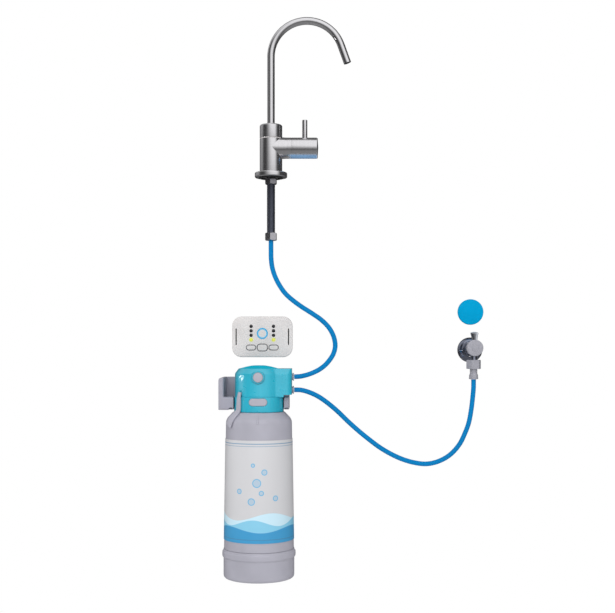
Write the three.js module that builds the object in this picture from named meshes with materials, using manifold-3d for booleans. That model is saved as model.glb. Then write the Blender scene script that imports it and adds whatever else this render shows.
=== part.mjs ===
import * as THREE from "three";
import { mergeVertices } from "three/addons/utils/BufferGeometryUtils.js";
import Module from "manifold-3d";

// An under-sink drinking water kit: filter on its wall bracket, faucet, angle valve, the two
// free tubes, the wall indicator panel and a round marker. All lengths are millimetres.
// +X is to the right, +Y goes into the wall and +Z is up. The wall is the plane Y = 0, and the
// origin is on the back of the filter's bracket, level with the top of the filter's collar.

const wasm = await Module();
wasm.setup();

// Turns
const quarterTurn = Math.PI / 2;
const halfTurn = Math.PI;
const degree = Math.PI / 180;

// Fits shared by all pieces
const seat = 0.3;
const overrun = 2;

// Counts of flats round a circle, and of steps along a curve
const largeSides = 28;
const midSides = 20;
const smallSides = 12;
const tinySides = 8;
const hexSides = 6;
const tubeSides = 8;
const cornerSteps = 3;
const headSteps = 10;

// Water tube, and how it sits in a fitting
const tubeDia = 6.35;
const tubePlay = 0.3;
const tubeGrip = 16;

// Places of the sub-assemblies
const filterOut = 60;
const faucetRight = 16;
const faucetUp = 289.7;
const valveRight = 288.8;
const valveUp = 61.5;
const panelRight = 2.6;
const panelUp = 78.1;
const markerRight = 290.5;
const markerUp = 112.6;

// Cartridge neck
const spigotRadius = 16.7;
const spigotTop = 22;
const spigotEdge = 0.8;
const spigotBore = 4.2;
const spigotFlangeWidth = 5.3;
const spigotFlangeRadius = spigotRadius + spigotFlangeWidth;
const spigotFlange = 4.2;
const spigotTailRadius = 12;
const spigotTailInner = 9.4;
const spigotTailEnd = -30;
const grooveDepth = 1.8;
const grooveHeight = 2.7;
const upperGroove = 16.3;
const lowerGroove = 1.3;
const neckSealRadius = 1.05;
const sealStretch = 0.1;

// Filter block
const blockRadius = 36;
const blockBore = 8;
const wrapThickness = 2.2;

// Filter head
const headRadius = 32;
const headBottom = -1.9;
const headShoulder = 28.7;
const headRise = 6.7;
const headTop = headShoulder + headRise;
const headChamfer = 5;
const capSetback = 0.6;
const capRadius = headRadius - headChamfer - capSetback;
const capProud = 4.2;
const capTop = headTop + capProud;
const crownInset = 10.4;
const crownDrop = 1.5;
const crownFlat = 6;
const portReach = 12;
const portFace = headRadius + portReach;
const portHalfWidth = 22.5;
const portBlend = 6;
const portCorner = 8.5;
const rearBlockHalf = 16;
const rearBlockBottom = 3;
const rearBlockTop = 26;
const rearBlockStart = 20;
const skirtGap = 1;
const skirtWall = 3.5;
const skirtInner = spigotFlangeRadius + skirtGap;
const skirtOuter = skirtInner + skirtWall;
const skirtDrop = 10;
const socketRoom = 5;
const socketTop = spigotTop + socketRoom;
const socketPlay = 0.8;

// Ports and push-fit collets
const upperPort = 24.3;
const lowerPort = 6.9;
const colletFlangeDia = 10.7;
const colletFlange = 1.2;
const colletOut = 2.6;
const colletWall = 1.1;
const colletLength = 8;
const waterwayDia = 4.4;
const portDepth = 13;

// Bleed button
const buttonDia = 13;
const bezelDia = 16.8;
const bezelProud = 1.4;
const bezelOut = headRadius + bezelProud;
const buttonProud = 1.4;
const buttonOut = bezelOut + buttonProud;
const buttonThickness = 7;
const buttonDome = 1;
const buttonLevel = 24.1;
const buttonWell = 20.5;
const buttonStemDia = 4;
const buttonStemEnd = 19.5;
const springWall = 1.4;

// Grip lever
const leverTopTurn = 43 * degree;
const leverSweep = 13 * degree;
const leverPivotUp = 7;
const leverDrop = 47;
const leverThickness = 2.8;
const leverTopWidth = 5.6;
const leverTipWidth = 9.3;
const leverGap = 0.7;
const leverHubRadius = 2.7;
const leverPinDia = 2.4;
const leverPinCover = 1.2;
const leverPinBite = 1.8;
const leverPinLength = leverTopWidth + 2 * seat + 2 * leverPinBite;
const leverPivotOut = headRadius - leverPinCover - leverPinDia / 2;
const leverRootShare = 0.18;
const leverShares = [0.03, 0.1, 0.18, 0.38, 0.52, 0.62, 0.7, 0.79, 0.89, 1];
const leverSectionShares = [
  [1, -0.5], [1, 0.5], [0.8, 1], [-0.8, 1], [-1, 0.5], [-1, -0.5], [-0.8, -1], [0.8, -1],
];

// Locking collar and its latch
const collarWall = 6.2;
const collarRadius = skirtOuter + seat + collarWall;
const collarHeight = 19.7;
const collarEdge = 0.7;
const latchWidth = 24;
const latchHeight = 9.8;
const latchLevel = -8.4;
const latchDepth = 3;
const latchInner = collarRadius - latchDepth;
const latchProud = 0.8;

// Cartridge bottle
const hubRadius = skirtOuter - seat;
const hubGap = 1.1;
const hubTop = headBottom - skirtDrop - hubGap;
const hubWall = 2.3;
const shoulderInset = 9.5;
const shoulderBend = 12;
const waterGap = 3.2;
const bottleFlare = 2.6;
const bottleStraightTop = -37;
const bottleLength = 166;
const bottleSeam = bottleStraightTop - bottleLength;
const bottleWall = 2.2;
const cupHeight = 39.4;
const bottleBottom = bottleSeam - cupHeight;
const bottleTopRadius = blockRadius + seat + wrapThickness + waterGap + bottleWall;
const bottleFootRadius = bottleTopRadius + bottleFlare;
const shoulderRadius = bottleTopRadius - shoulderInset;
const cupLip = 0.6;
const cupRadius = bottleFootRadius + cupLip;
const cupCorner = 4.2;
const beadProud = 1.7;
const beadRadius = cupRadius + beadProud;
const beadDrop = 7;
const beadLevel = bottleSeam - beadDrop;
const beadHeight = 10;
const plugHeight = 6;
const pedestalRadius = 22.5;
const labelTopGap = 20.5;
const labelBottomGap = 12.5;
const labelTop = bottleStraightTop - labelTopGap;
const labelBottom = bottleSeam + labelBottomGap;
const labelThickness = 0.45;
const labelGlue = 0.1;

// Seats of the filter block in the bottle
const blockTopGap = 5.3;
const blockBottomGap = 13;
const blockTop = bottleStraightTop - blockTopGap;
const blockBottom = bottleSeam + blockBottomGap;
const blockCapThickness = 4;
const blockHubTop = -18;
const blockPlugHeight = 6;

// Wall bracket
const armLeft = 19.7;
const armRight = 6.2;
const bracketTop = 24.2;
const bracketDrop = 19.5;
const bracketNose = 10;
const bracketReach = filterOut + bracketNose;
const bracketCorner = 5;
const plateThickness = 6;
const cheekThickness = 7;
const shelfThickness = 17;
const collarPlay = 0.8;
const bracketLeft = collarRadius + collarPlay + armLeft;
const bracketRight = collarRadius + collarPlay + armRight;
const notchRadius = 3.4;
const notchLength = 14;
const notchInset = 3.2;
const notchSpread = collarRadius + collarPlay + notchInset;

// Screws of the bracket
const screwDia = 4;
const screwHeadDia = 8;
const screwHeadHeight = 2.4;
const screwLevel = 14;
const wallScrewSpread = 25;
const headScrewBite = 12;

// Faucet, with heights from the underside of its flange
const flangeRadius = 21.6;
const flangeHeight = 7.6;
const flangeEdge = 2;
const faucetRadius = 15;
const swivelEdge = 1.5;
const branchRadius = 13.9;
const branchLevel = 39.3;
const branchReach = 6.3;
const branchEnd = faucetRadius + branchReach;
const seamGap = 0.1;
const faucetSeam = branchLevel + branchRadius + seamGap;
const swivelHeight = 18;
const swivelTop = faucetSeam + swivelHeight;
const branchSocket = 9;
const ceramicRadius = 10.1;
const ceramicInSleeve = 12;
const sleeveLength = 39.9;
const sleeveEnd = branchEnd + sleeveLength;
const stemDia = 7;
const stemInSleeve = 12.4;
const pinDia = 6.9;
const pinAlong = 23.7;
const pinPlace = branchEnd + pinAlong;
const pinReach = 38.3;
const pinRoot = 8.4;
const pinPlay = 0.15;
const endCapRadius = 13.5;
const endCapThickness = 1.2;
const gasketRadius = 19.6;
const gasketThickness = 1.2;
const deckNutHeight = 7.2;
const nutTaper = 2;
const shankDia = 11.1;
const nutWall = 2.85;
const nutRadius = shankDia / 2 + nutWall;
const gasketRoom = 0.8;
const gasketBore = nutRadius + gasketRoom;
const shankSocketTop = 20;
const shankEnd = -78.7;
const shankNutTop = -73.7;
const shankNutEnd = -83.7;
const nutLip = 2;
const faucetBore = 5;

// Spout
const spoutDia = 10;
const spoutWall = 1;
const spoutRoot = 33;
const archCentre = 161;
const archRadius = 48;
const archSweep = 160 * degree;
const spoutTail = 26;
const spoutSteps = 26;
const bushWall = 0.8;
const bushRadius = spoutDia / 2 + seat + bushWall;
const bushCollarWidth = 0.8;
const bushCollarRadius = bushRadius + bushCollarWidth;
const bushCollarHeight = 1.3;
const aeratorLength = 5;
const aeratorWall = 0.8;

// Angle valve, with distances out from the wall
const roseRim = 2;
const valveRadius = 9;
const roseWall = 1.8;
const roseFlare = 6.5;
const roseHeight = 12;
const roseNeck = valveRadius + roseWall;
const roseRadius = roseNeck + roseFlare;
const outletOut = 42;
const valveNose = 4.7;
const valveFront = outletOut + valveNose;
const valveBore = 5.5;
const valveBoreRoom = 1;
const valveBoreEnd = outletOut + valveBoreRoom;
const valveHexWall = 2.5;
const valveHexRadius = valveRadius + valveHexWall;
const valveHexStart = 16;
const valveHexWidth = 9;
const outletRadius = 4.4;
const outletBoreDia = 5.2;
const outletShoulder = -15.3;
const outletEnd = -20.5;
const outletThreadRadius = 8.1;
const spindleDia = 6.8;
const handleRadius = 11;
const handleDepth = 10.3;
const handleFront = valveFront + handleDepth;
const handleEdge = 1.4;
const tabTop = 22.5;
const tabRoot = 8;
const tabNeckWidth = 6;
const tabTopWidth = 10.5;
const tabThickness = 3;
const tabLean = 14 * degree;
const handleScrewDia = 8.4;
const handleScrewHeight = 1.3;
const handleScrewShank = 3;
const handleScrewDepth = 7;

// Push-fit adaptor under the valve, with heights from the valve's axis
const adaptorNutWall = 2;
const adaptorNutRadius = outletThreadRadius + adaptorNutWall;
const adaptorNutTop = -14.8;
const adaptorNutHeight = 10.7;
const adaptorNutLip = 1;
const adaptorFlange = 1.6;
const adaptorFlangeRadius = outletThreadRadius - seat;
const adaptorNeckRadius = 4.65;
const adaptorNeckEnd = -33;
const adaptorMouthRadius = 6;
const adaptorMouthEnd = -38.6;
const adaptorColletOut = 2.4;
const adaptorColletLength = 3.6;

// Indicator panel
const panelWidth = 83;
const panelHeight = 56;
const panelRadius = 13;
const panelBackDepth = 8.2;
const panelFrontDepth = 6.8;
const panelDepth = panelBackDepth + panelFrontDepth;
const panelEdge = 1.6;
const panelWall = 2;
const panelFace = 2.6;
const boardInset = 4;
const boardThickness = 1.6;
const boardGap = 1.3;
const postRadius = 2.6;
const postInsetShare = 0.34;
const cellRadius = 10;
const cellThickness = 3.2;
const cellPlace = 14;
const ledDia = 4.6;
const ledSpread = 15.4;
const ledTopRow = 14.4;
const ledPitch = 6.15;
const ledRows = 4;
const lensProud = 0.05;
const guideWidth = 37;
const guideHeight = 24;
const haloRadius = 7.6;
const haloWidth = 1.7;
const haloDepth = 1.5;
const haloLevel = 4.6;
const keyLevel = -14.7;
const sideKeyWidth = 13.4;
const sideKeyHeight = 7.3;
const middleKeyWidth = 14.3;
const keyGap = 1.65;
const keySpread = (sideKeyWidth + middleKeyWidth) / 2 + keyGap;
const middleKeyHeight = 9.8;
const keyProud = 0.4;
const keyFloat = 0.8;
const slotInset = 5.5;
const slotSpread = panelWidth / 2 - slotInset;
const slotWidth = 1.6;
const slotHeight = 22.8;

// Marker
const markerRadius = 17.7;
const markerThickness = 5.6;
const markerEdge = 1.2;

// Routes of the two free tubes, chosen by hand along the hanging curves
const faucetTubeRoute = [
  [46.9, -60, 24.3], [56, -60, 25], [67, -60, 27.8], [78, -60, 32.6], [87, -60, 38.8],
  [94, -60, 46.5], [99.2, -60, 55], [101.6, -60, 65], [99.8, -60, 77], [93.8, -60, 89],
  [83.5, -60, 99.8], [71, -60, 108.6], [57.5, -60, 117.2], [45, -60, 126.3], [35, -60, 135.5],
  [27.2, -60, 146.5], [21.6, -60, 157.5], [18, -60, 168.5], [16.3, -60, 180], [16, -60, 193],
  [16, -60, 205.7],
];
const supplyTubeRoute = [
  [46.9, -60, 6.9], [56, -60, 6.6], [67, -60, 3.6], [79, -60, -2], [92, -60, -11],
  [105, -60, -22], [118, -60, -34.6], [132, -59.5, -47.2], [147, -59, -59.5],
  [162, -58, -70.6], [177, -57, -79.4], [192, -55.5, -86.2], [207.5, -53.5, -90.8],
  [223.7, -51, -92.8], [240, -48.5, -89.8], [256, -46.5, -81.3], [269, -45, -67.5],
  [277, -43.7, -52], [282.2, -42.8, -38], [285.8, -42.2, -19], [287.8, -42, -2],
  [288.7, -42, 9], [288.8, -42, 20.2],
];
const faucetTubeSteps = 20;
const supplyTubeSteps = 26;

// Colours and gloss
const turquoise = finish(0x47b5ce, 0.25, 0);
const greyPlastic = finish(0xb0b0ba, 0.45, 0);
const palePlastic = finish(0xd0ccce, 0.5, 0);
const darkPlastic = finish(0x33363c, 0.5, 0);
const labelFilm = finish(0xf2f2f4, 0.4, 0);
const steel = finish(0xa8a6a8, 0.3, 1);
const darkSteel = finish(0x3c3e46, 0.35, 1);
const zinc = finish(0xa5a5ad, 0.35, 1);
const brass = finish(0xb89a55, 0.35, 1);
const rubber = finish(0x1c1c1e, 0.8, 0);
const carbon = finish(0x1b1b1b, 0.95, 0);
const fleece = finish(0xe8e8e4, 0.95, 0);
const tubeBlue = finish(0x1682cb, 0.3, 0);
const markerBlue = finish(0x009ece, 0.4, 0);
const boardGreen = finish(0x1f5b3a, 0.6, 0);
const lensYellow = finish(0xd6d972, 0.3, 0);
const haloBlue = finish(0x46b4e1, 0.3, 0);

function finish(color, roughness, metalness) {
  return new THREE.MeshStandardMaterial({ color, roughness, metalness, flatShading: true });
}

function named(name, geometry, material) {
  const mesh = new THREE.Mesh(geometry, material);
  mesh.name = name;
  return mesh;
}

// Welds shared corners and drops the triangles that closed up at a pole.
function welded(geometry) {
  const bare = new THREE.BufferGeometry();
  bare.setAttribute("position", geometry.getAttribute("position"));
  bare.setIndex(geometry.getIndex());
  const merged = mergeVertices(bare);
  const corners = merged.getIndex().array;
  const kept = [];
  for (let i = 0; i < corners.length; i += 3) {
    const [a, b, c] = corners.slice(i, i + 3);
    if (a !== b && b !== c && c !== a) {
      kept.push(a, b, c);
    }
  }
  merged.setIndex(kept);
  return merged;
}

function toSolid(geometry) {
  const shell = welded(geometry);
  const vertProperties = new Float32Array(shell.getAttribute("position").array);
  const triVerts = new Uint32Array(shell.getIndex().array);
  return new wasm.Manifold(new wasm.Mesh({ numProp: 3, vertProperties, triVerts }));
}

function toGeometry(solid) {
  const mesh = solid.getMesh();
  const geometry = new THREE.BufferGeometry();
  const positions = new Float32Array(mesh.vertProperties);
  geometry.setAttribute("position", new THREE.BufferAttribute(positions, 3));
  geometry.setIndex(new THREE.BufferAttribute(new Uint32Array(mesh.triVerts), 1));
  return geometry;
}

function join(...bodies) {
  return toGeometry(bodies.map(toSolid).reduce((whole, next) => whole.add(next)));
}

function cut(body, ...tools) {
  return toGeometry(tools.map(toSolid).reduce((left, tool) => left.subtract(tool), toSolid(body)));
}

function common(first, second) {
  return toGeometry(toSolid(first).intersect(toSolid(second)));
}

// A shape turned about Z from a profile of [radius, height] corners.
function turned(profile, sides) {
  const outline = profile.map(([radius, height]) => new THREE.Vector2(radius, height));
  if (THREE.ShapeUtils.area(outline) < 0) {
    outline.reverse();
  }
  const onAxis = outline[0].x === 0 && outline[outline.length - 1].x === 0;
  if (!onAxis) {
    outline.push(outline[0].clone());
  }
  return welded(new THREE.LatheGeometry(outline, sides).rotateX(quarterTurn));
}

function rod(radius, low, high, sides) {
  return turned([[0, low], [radius, low], [radius, high], [0, high]], sides);
}

function ring(inner, outer, low, high, sides) {
  return turned([[inner, low], [outer, low], [outer, high], [inner, high]], sides);
}

function box(width, depth, low, high) {
  const block = new THREE.BoxGeometry(width, depth, high - low);
  return block.translate(0, 0, (low + high) / 2);
}

// A flat outline in X and Y, given a thickness along Z.
function slab(shape, low, high) {
  const settings = { depth: high - low, bevelEnabled: false, curveSegments: cornerSteps };
  return welded(new THREE.ExtrudeGeometry(shape, settings).translate(0, 0, low));
}

// Lays a shape made along Z so that its height runs out from the wall, along -Y.
function outward(geometry) {
  return geometry.rotateX(quarterTurn);
}

// Lays a shape made along Z so that its height runs along +X.
function sideways(geometry) {
  return geometry.rotateY(quarterTurn);
}

function moved(geometry, x, y, z) {
  return geometry.clone().translate(x, y, z);
}

function arcPoints(x, y, radius, from, to, steps) {
  const points = [];
  for (let i = 0; i <= steps; i += 1) {
    const turn = from + ((to - from) * i) / steps;
    points.push(new THREE.Vector2(x + radius * Math.cos(turn), y + radius * Math.sin(turn)));
  }
  return points;
}

// A closed skin over rings of equal count, closed by the given end faces.
function skinned(rings, endFaces) {
  const count = rings[0].length;
  const positions = rings.flat().flatMap((point) => [point.x, point.y, point.z]);
  const faces = [];
  for (let level = 0; level + 1 < rings.length; level += 1) {
    for (let i = 0; i < count; i += 1) {
      const a = level * count + i;
      const b = level * count + ((i + 1) % count);
      faces.push(a, b, b + count, a, b + count, a + count);
    }
  }
  const top = (rings.length - 1) * count;
  for (const [a, b, c] of endFaces) {
    faces.push(a, c, b, top + a, top + b, top + c);
  }
  const geometry = new THREE.BufferGeometry();
  geometry.setAttribute("position", new THREE.Float32BufferAttribute(positions, 3));
  geometry.setIndex(faces);
  return geometry;
}

// A solid between flat outlines at rising heights: levels of [height, outline].
function lofted(levels) {
  const rings = levels.map(([height, outline]) => (
    outline.map((point) => new THREE.Vector3(point.x, point.y, height))
  ));
  return skinned(rings, THREE.ShapeUtils.triangulateShape(levels[0][1], []));
}

function pillShape(width, height) {
  const radius = height / 2;
  const half = width / 2 - radius;
  const right = arcPoints(half, 0, radius, -quarterTurn, quarterTurn, 2 * cornerSteps);
  const left = arcPoints(-half, 0, radius, quarterTurn, 3 * quarterTurn, 2 * cornerSteps);
  return new THREE.Shape([...right, ...left]);
}

function roundedOutline(width, height, radius, inset) {
  const x = width / 2 - radius;
  const y = height / 2 - radius;
  return [[x, y], [-x, y], [-x, -y], [x, -y]].flatMap(([cornerX, cornerY], i) => (
    arcPoints(cornerX, cornerY, radius - inset, i * quarterTurn, (i + 1) * quarterTurn, cornerSteps)
  ));
}

// A round section carried along a curve, hollow where a bore is given.
function tubeAlong(curve, radius, bore, sides, steps) {
  const section = new THREE.Shape();
  section.setFromPoints(arcPoints(0, 0, radius, 0, 2 * halfTurn, sides).slice(0, sides));
  if (bore > 0) {
    section.holes.push(new THREE.Path(arcPoints(0, 0, bore, 0, 2 * halfTurn, tubeSides).slice(0, tubeSides)));
  }
  return welded(new THREE.ExtrudeGeometry(section, { steps, extrudePath: curve, bevelEnabled: false }));
}

// Wall bracket and screws

function wallBracket() {
  const left = -bracketLeft;
  const cheekRight = left + cheekThickness;
  const shelfTop = shelfThickness - bracketDrop;
  const cornerX = left + bracketCorner;
  const cornerZ = bracketTop - bracketCorner;
  const front = new THREE.Shape();
  front.moveTo(left, -bracketDrop);
  front.lineTo(bracketRight, -bracketDrop);
  front.lineTo(bracketRight, shelfTop);
  front.lineTo(cheekRight, shelfTop);
  front.lineTo(cheekRight, bracketTop);
  front.absarc(cornerX, cornerZ, bracketCorner, quarterTurn, halfTurn);
  const plate = new THREE.Shape();
  plate.moveTo(left, -bracketDrop);
  plate.lineTo(bracketRight, -bracketDrop);
  plate.absarc(bracketRight - bracketCorner, cornerZ, bracketCorner, 0, quarterTurn);
  plate.absarc(cornerX, cornerZ, bracketCorner, quarterTurn, halfTurn);
  const body = join(
    outward(slab(front, 0, bracketReach)),
    outward(slab(plate, 0, plateThickness)),
  );
  const collarRoom = collarRadius + collarPlay;
  const collarSpace = rod(collarRoom, -bracketDrop - overrun, shelfTop + overrun, largeSides);
  const tools = [moved(collarSpace, 0, -filterOut, 0)];
  const notch = rod(notchRadius, bracketReach - notchLength, bracketReach + overrun, smallSides);
  const screwHole = rod(screwDia / 2 + seat, -overrun, plateThickness + overrun, smallSides);
  const headHole = rod(screwHeadDia / 2 + seat, -overrun, screwHeadHeight + seat, smallSides);
  for (const side of [-1, 1]) {
    tools.push(moved(outward(notch.clone()), side * notchSpread, 0, -bracketDrop));
    tools.push(moved(outward(screwHole.clone()), side * wallScrewSpread, 0, screwLevel));
  }
  tools.push(moved(outward(screwHole.clone()), 0, 0, screwLevel));
  tools.push(moved(outward(headHole), 0, 0, screwLevel));
  return named("wall_bracket", cut(body, ...tools), greyPlastic);
}

function wallScrew(name, place) {
  const under = plateThickness + seat;
  const top = under + screwHeadHeight;
  const screw = outward(turned([
    [0, 0], [screwDia / 2, 0], [screwDia / 2, under], [screwHeadDia / 2, under],
    [screwHeadDia / 2, under + screwHeadHeight / 2], [screwHeadDia / 2 - screwHeadHeight / 2, top], [0, top],
  ], smallSides));
  return named(name, moved(screw, place, 0, screwLevel), zinc);
}

function headScrew() {
  const end = plateThickness + headScrewBite;
  const screw = outward(turned([
    [0, seat], [screwHeadDia / 2, seat], [screwHeadDia / 2, screwHeadHeight],
    [screwDia / 2, screwHeadHeight], [screwDia / 2, end], [0, end],
  ], smallSides));
  return named("head_screw", moved(screw, 0, 0, screwLevel), zinc);
}

// Filter head

function headOutline(inset) {
  const reach = headRadius + portBlend;
  const rise = portHalfWidth + portBlend;
  const blendX = Math.sqrt(reach ** 2 - rise ** 2);
  const blendTurn = Math.atan2(rise, blendX);
  const cornerX = portFace - portCorner + inset;
  const cornerY = portHalfWidth - portCorner;
  const back = [
    ...arcPoints(cornerX, cornerY, portCorner - inset, 0, quarterTurn, cornerSteps),
    ...arcPoints(blendX, rise, portBlend + inset, -quarterTurn, blendTurn - halfTurn, cornerSteps),
    ...arcPoints(0, 0, headRadius - inset, blendTurn, halfTurn, headSteps).slice(1),
  ];
  const mirrored = back.slice(0, -1).reverse().map((point) => new THREE.Vector2(point.x, -point.y));
  return [...back, ...mirrored];
}

function portRadius() {
  return tubeDia / 2 + tubePlay + colletWall + seat;
}

function headTools() {
  const bore = portRadius();
  const port = sideways(rod(bore, portFace - portDepth, portFace + overrun, smallSides));
  const tipRoom = tubeDia / 2 + tubePlay;
  const tipEnd = portFace - tubeGrip - seat;
  const tip = sideways(rod(tipRoom, tipEnd, portFace, smallSides));
  const waterway = sideways(rod(waterwayDia / 2, spigotRadius - overrun, portFace - overrun, tinySides));
  const tools = [port, tip, waterway].flatMap((tool) => [
    moved(tool, 0, 0, upperPort),
    moved(tool, 0, 0, lowerPort),
  ]);
  const well = outward(rod(buttonDia / 2 + seat, buttonWell, buttonOut, midSides));
  const stemHole = outward(rod(buttonStemDia / 2 + seat, spigotRadius - overrun, buttonOut, tinySides));
  tools.push(moved(well, 0, 0, buttonLevel), moved(stemHole, 0, 0, buttonLevel));
  tools.push(rod(spigotRadius + socketPlay, headBottom - skirtDrop - overrun, socketTop, midSides));
  const screwHole = outward(rod(screwDia / 2 + seat, 0, plateThickness + headScrewBite + seat, smallSides));
  tools.push(moved(screwHole, 0, filterOut, screwLevel));
  return tools;
}

function leverTools() {
  const slotDepth = leverPivotOut - leverHubRadius - seat;
  const slotLength = headRadius + overrun - slotDepth;
  const slotTop = leverPivotUp + leverHubRadius + 2 * seat;
  const slot = box(leverTopWidth + 2 * seat, slotLength, headBottom - overrun, slotTop);
  const pin = rod(leverPinDia / 2 + seat / 2, -leverPinLength / 2, leverPinLength / 2, tinySides);
  const pinHole = sideways(pin);
  return [
    moved(slot, 0, -slotDepth - slotLength / 2, 0).rotateZ(-leverTopTurn),
    moved(pinHole, 0, -leverPivotOut, leverPivotUp).rotateZ(-leverTopTurn),
  ];
}

function headCap() {
  const profile = [
    [0, socketTop + overrun], [capRadius, socketTop + overrun], [capRadius, headTop],
    [capRadius - crownInset, capTop - crownDrop], [crownFlat, capTop], [0, capTop],
  ];
  return turned(profile, largeSides);
}

function headHousing() {
  const body = lofted([
    [headBottom, headOutline(0)],
    [headShoulder, headOutline(0)],
    [headTop, headOutline(headChamfer)],
  ]);
  const skirt = ring(skirtInner, skirtOuter, headBottom - skirtDrop, headBottom + overrun, largeSides);
  const bezel = outward(rod(bezelDia / 2, rearBlockStart, bezelOut, midSides));
  const rearEnd = filterOut - plateThickness - seat;
  const rear = box(2 * rearBlockHalf, rearEnd - rearBlockStart, rearBlockBottom, rearBlockTop);
  const whole = join(
    body,
    headCap(),
    skirt,
    moved(bezel, 0, 0, buttonLevel),
    moved(rear, 0, (rearEnd + rearBlockStart) / 2, 0),
  );
  return named("head_housing", cut(whole, ...headTools(), ...leverTools()), turquoise);
}

function bleedButton() {
  const back = buttonOut - buttonThickness;
  const profile = [
    [0, buttonStemEnd], [buttonStemDia / 2, buttonStemEnd], [buttonStemDia / 2, back],
    [buttonDia / 2, back], [buttonDia / 2, buttonOut - buttonDome],
    [buttonDia / 2 - buttonDome, buttonOut], [0, buttonOut],
  ];
  const button = moved(outward(turned(profile, midSides)), 0, 0, buttonLevel);
  return named("bleed_button", button, greyPlastic);
}

function bleedSpring() {
  const inner = buttonStemDia / 2 + 2 * seat;
  const outer = inner + springWall;
  const spring = ring(inner, outer, buttonWell + seat, buttonOut - buttonThickness - seat, tinySides);
  return named("bleed_spring", moved(outward(spring), 0, 0, buttonLevel), zinc);
}

function collet(out, length) {
  const bore = tubeDia / 2 + tubePlay;
  const sleeve = bore + colletWall;
  return turned([
    [bore, -length], [sleeve, -length], [sleeve, out - colletFlange],
    [colletFlangeDia / 2, out - colletFlange], [colletFlangeDia / 2, out], [bore, out],
  ], smallSides);
}

function headCollet(name, level) {
  const sleeve = sideways(collet(colletOut, colletLength));
  return named(name, moved(sleeve, portFace, 0, level), greyPlastic);
}

// Grip lever

// Outer radius of the collar and of the bottle's shoulder at a height.
function bodyRadiusAt(height) {
  const bendTop = bottleStraightTop + shoulderBend * Math.SQRT1_2;
  if (height >= shoulderTop()) {
    return collarRadius;
  }
  if (height >= bendTop) {
    const share = (shoulderTop() - height) / (shoulderTop() - bendTop);
    return shoulderRadius + share * (shoulderBendRadius(halfTurn / 4) - shoulderRadius);
  }
  const turn = Math.asin(Math.max(0, (height - bottleStraightTop) / shoulderBend));
  return shoulderBendRadius(turn);
}

// The least radius at a height that stands off from the collar and shoulder all round.
function clearRadiusAt(height, standOff) {
  const turns = [0, 1, 2, 3, 4, 5, 6].map((step) => (step * quarterTurn) / 6);
  return Math.max(...turns.map((turn) => (
    bodyRadiusAt(height - standOff * Math.sin(turn)) + standOff * Math.cos(turn)
  )));
}

function leverPoint(share) {
  const height = leverPivotUp - share * leverDrop;
  const riding = clearRadiusAt(height, leverGap + leverThickness / 2);
  const rooting = Math.min(share / leverRootShare, 1);
  const radius = leverPivotOut + rooting * (riding - leverPivotOut);
  const turn = leverTopTurn + leverSweep * share ** 2;
  return new THREE.Vector3(-radius * Math.sin(turn), -radius * Math.cos(turn), height);
}

function leverRing(share) {
  const step = leverRootShare / 8;
  const centre = leverPoint(share);
  const along = leverPoint(share + step).sub(leverPoint(share - step)).normalize();
  const outwards = new THREE.Vector3(centre.x, centre.y, 0).normalize();
  const across = new THREE.Vector3().crossVectors(outwards, along).normalize();
  const through = new THREE.Vector3().crossVectors(along, across).normalize();
  const halfWidth = (leverTopWidth + (leverTipWidth - leverTopWidth) * share ** 2) / 2;
  return leverSectionShares.map(([widthShare, thickShare]) => (
    centre.clone()
      .addScaledVector(across, widthShare * halfWidth)
      .addScaledVector(through, (thickShare * leverThickness) / 2)
  ));
}

function gripLever() {
  const rings = leverShares.map(leverRing);
  const fan = leverSectionShares.slice(2).map((corner, i) => [0, i + 1, i + 2]);
  const strap = skinned(rings, fan);
  const hub = sideways(rod(leverHubRadius, -leverTopWidth / 2, leverTopWidth / 2, smallSides));
  const hole = sideways(rod(leverPinDia / 2 + seat / 2, -leverTopWidth, leverTopWidth, tinySides));
  const lever = cut(
    join(strap, moved(hub, 0, -leverPivotOut, leverPivotUp).rotateZ(-leverTopTurn)),
    moved(hole, 0, -leverPivotOut, leverPivotUp).rotateZ(-leverTopTurn),
  );
  return named("grip_lever", lever, greyPlastic);
}

function leverPin() {
  const half = leverPinLength / 2 - seat;
  const pin = sideways(rod(leverPinDia / 2, -half, half, tinySides));
  return named("lever_pin", moved(pin, 0, -leverPivotOut, leverPivotUp).rotateZ(-leverTopTurn), steel);
}

// Locking collar

function collarTop() {
  return headBottom - seat;
}

function shoulderTop() {
  return collarTop() - collarHeight - seat;
}

function lockingCollar() {
  const top = collarTop();
  const low = top - collarHeight;
  const inner = skirtOuter + seat;
  const profile = [
    [inner, low], [collarRadius - collarEdge, low], [collarRadius, low + collarEdge],
    [collarRadius, top - collarEdge], [collarRadius - collarEdge, top], [inner, top],
  ];
  const window = slab(pillShape(latchWidth + 2 * seat, latchHeight + 2 * seat), 0, collarRadius + overrun);
  const slot = moved(outward(window), 0, 0, latchLevel);
  return named("locking_collar", cut(turned(profile, largeSides), slot), turquoise);
}

function latchButton() {
  const pill = outward(slab(pillShape(latchWidth, latchHeight), 0, collarRadius + overrun));
  const outer = collarRadius + latchProud;
  const shell = ring(latchInner, outer, latchLevel - latchHeight, latchLevel + latchHeight, largeSides);
  return named("latch_button", common(moved(pill, 0, 0, latchLevel), shell), greyPlastic);
}

// Cartridge

function shoulderBendRadius(turn) {
  return bottleTopRadius - shoulderBend + shoulderBend * Math.cos(turn);
}

function bottleRadiusAt(height) {
  const share = (bottleStraightTop - height) / (bottleStraightTop - bottleSeam);
  return bottleTopRadius + share * (bottleFootRadius - bottleTopRadius);
}

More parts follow.
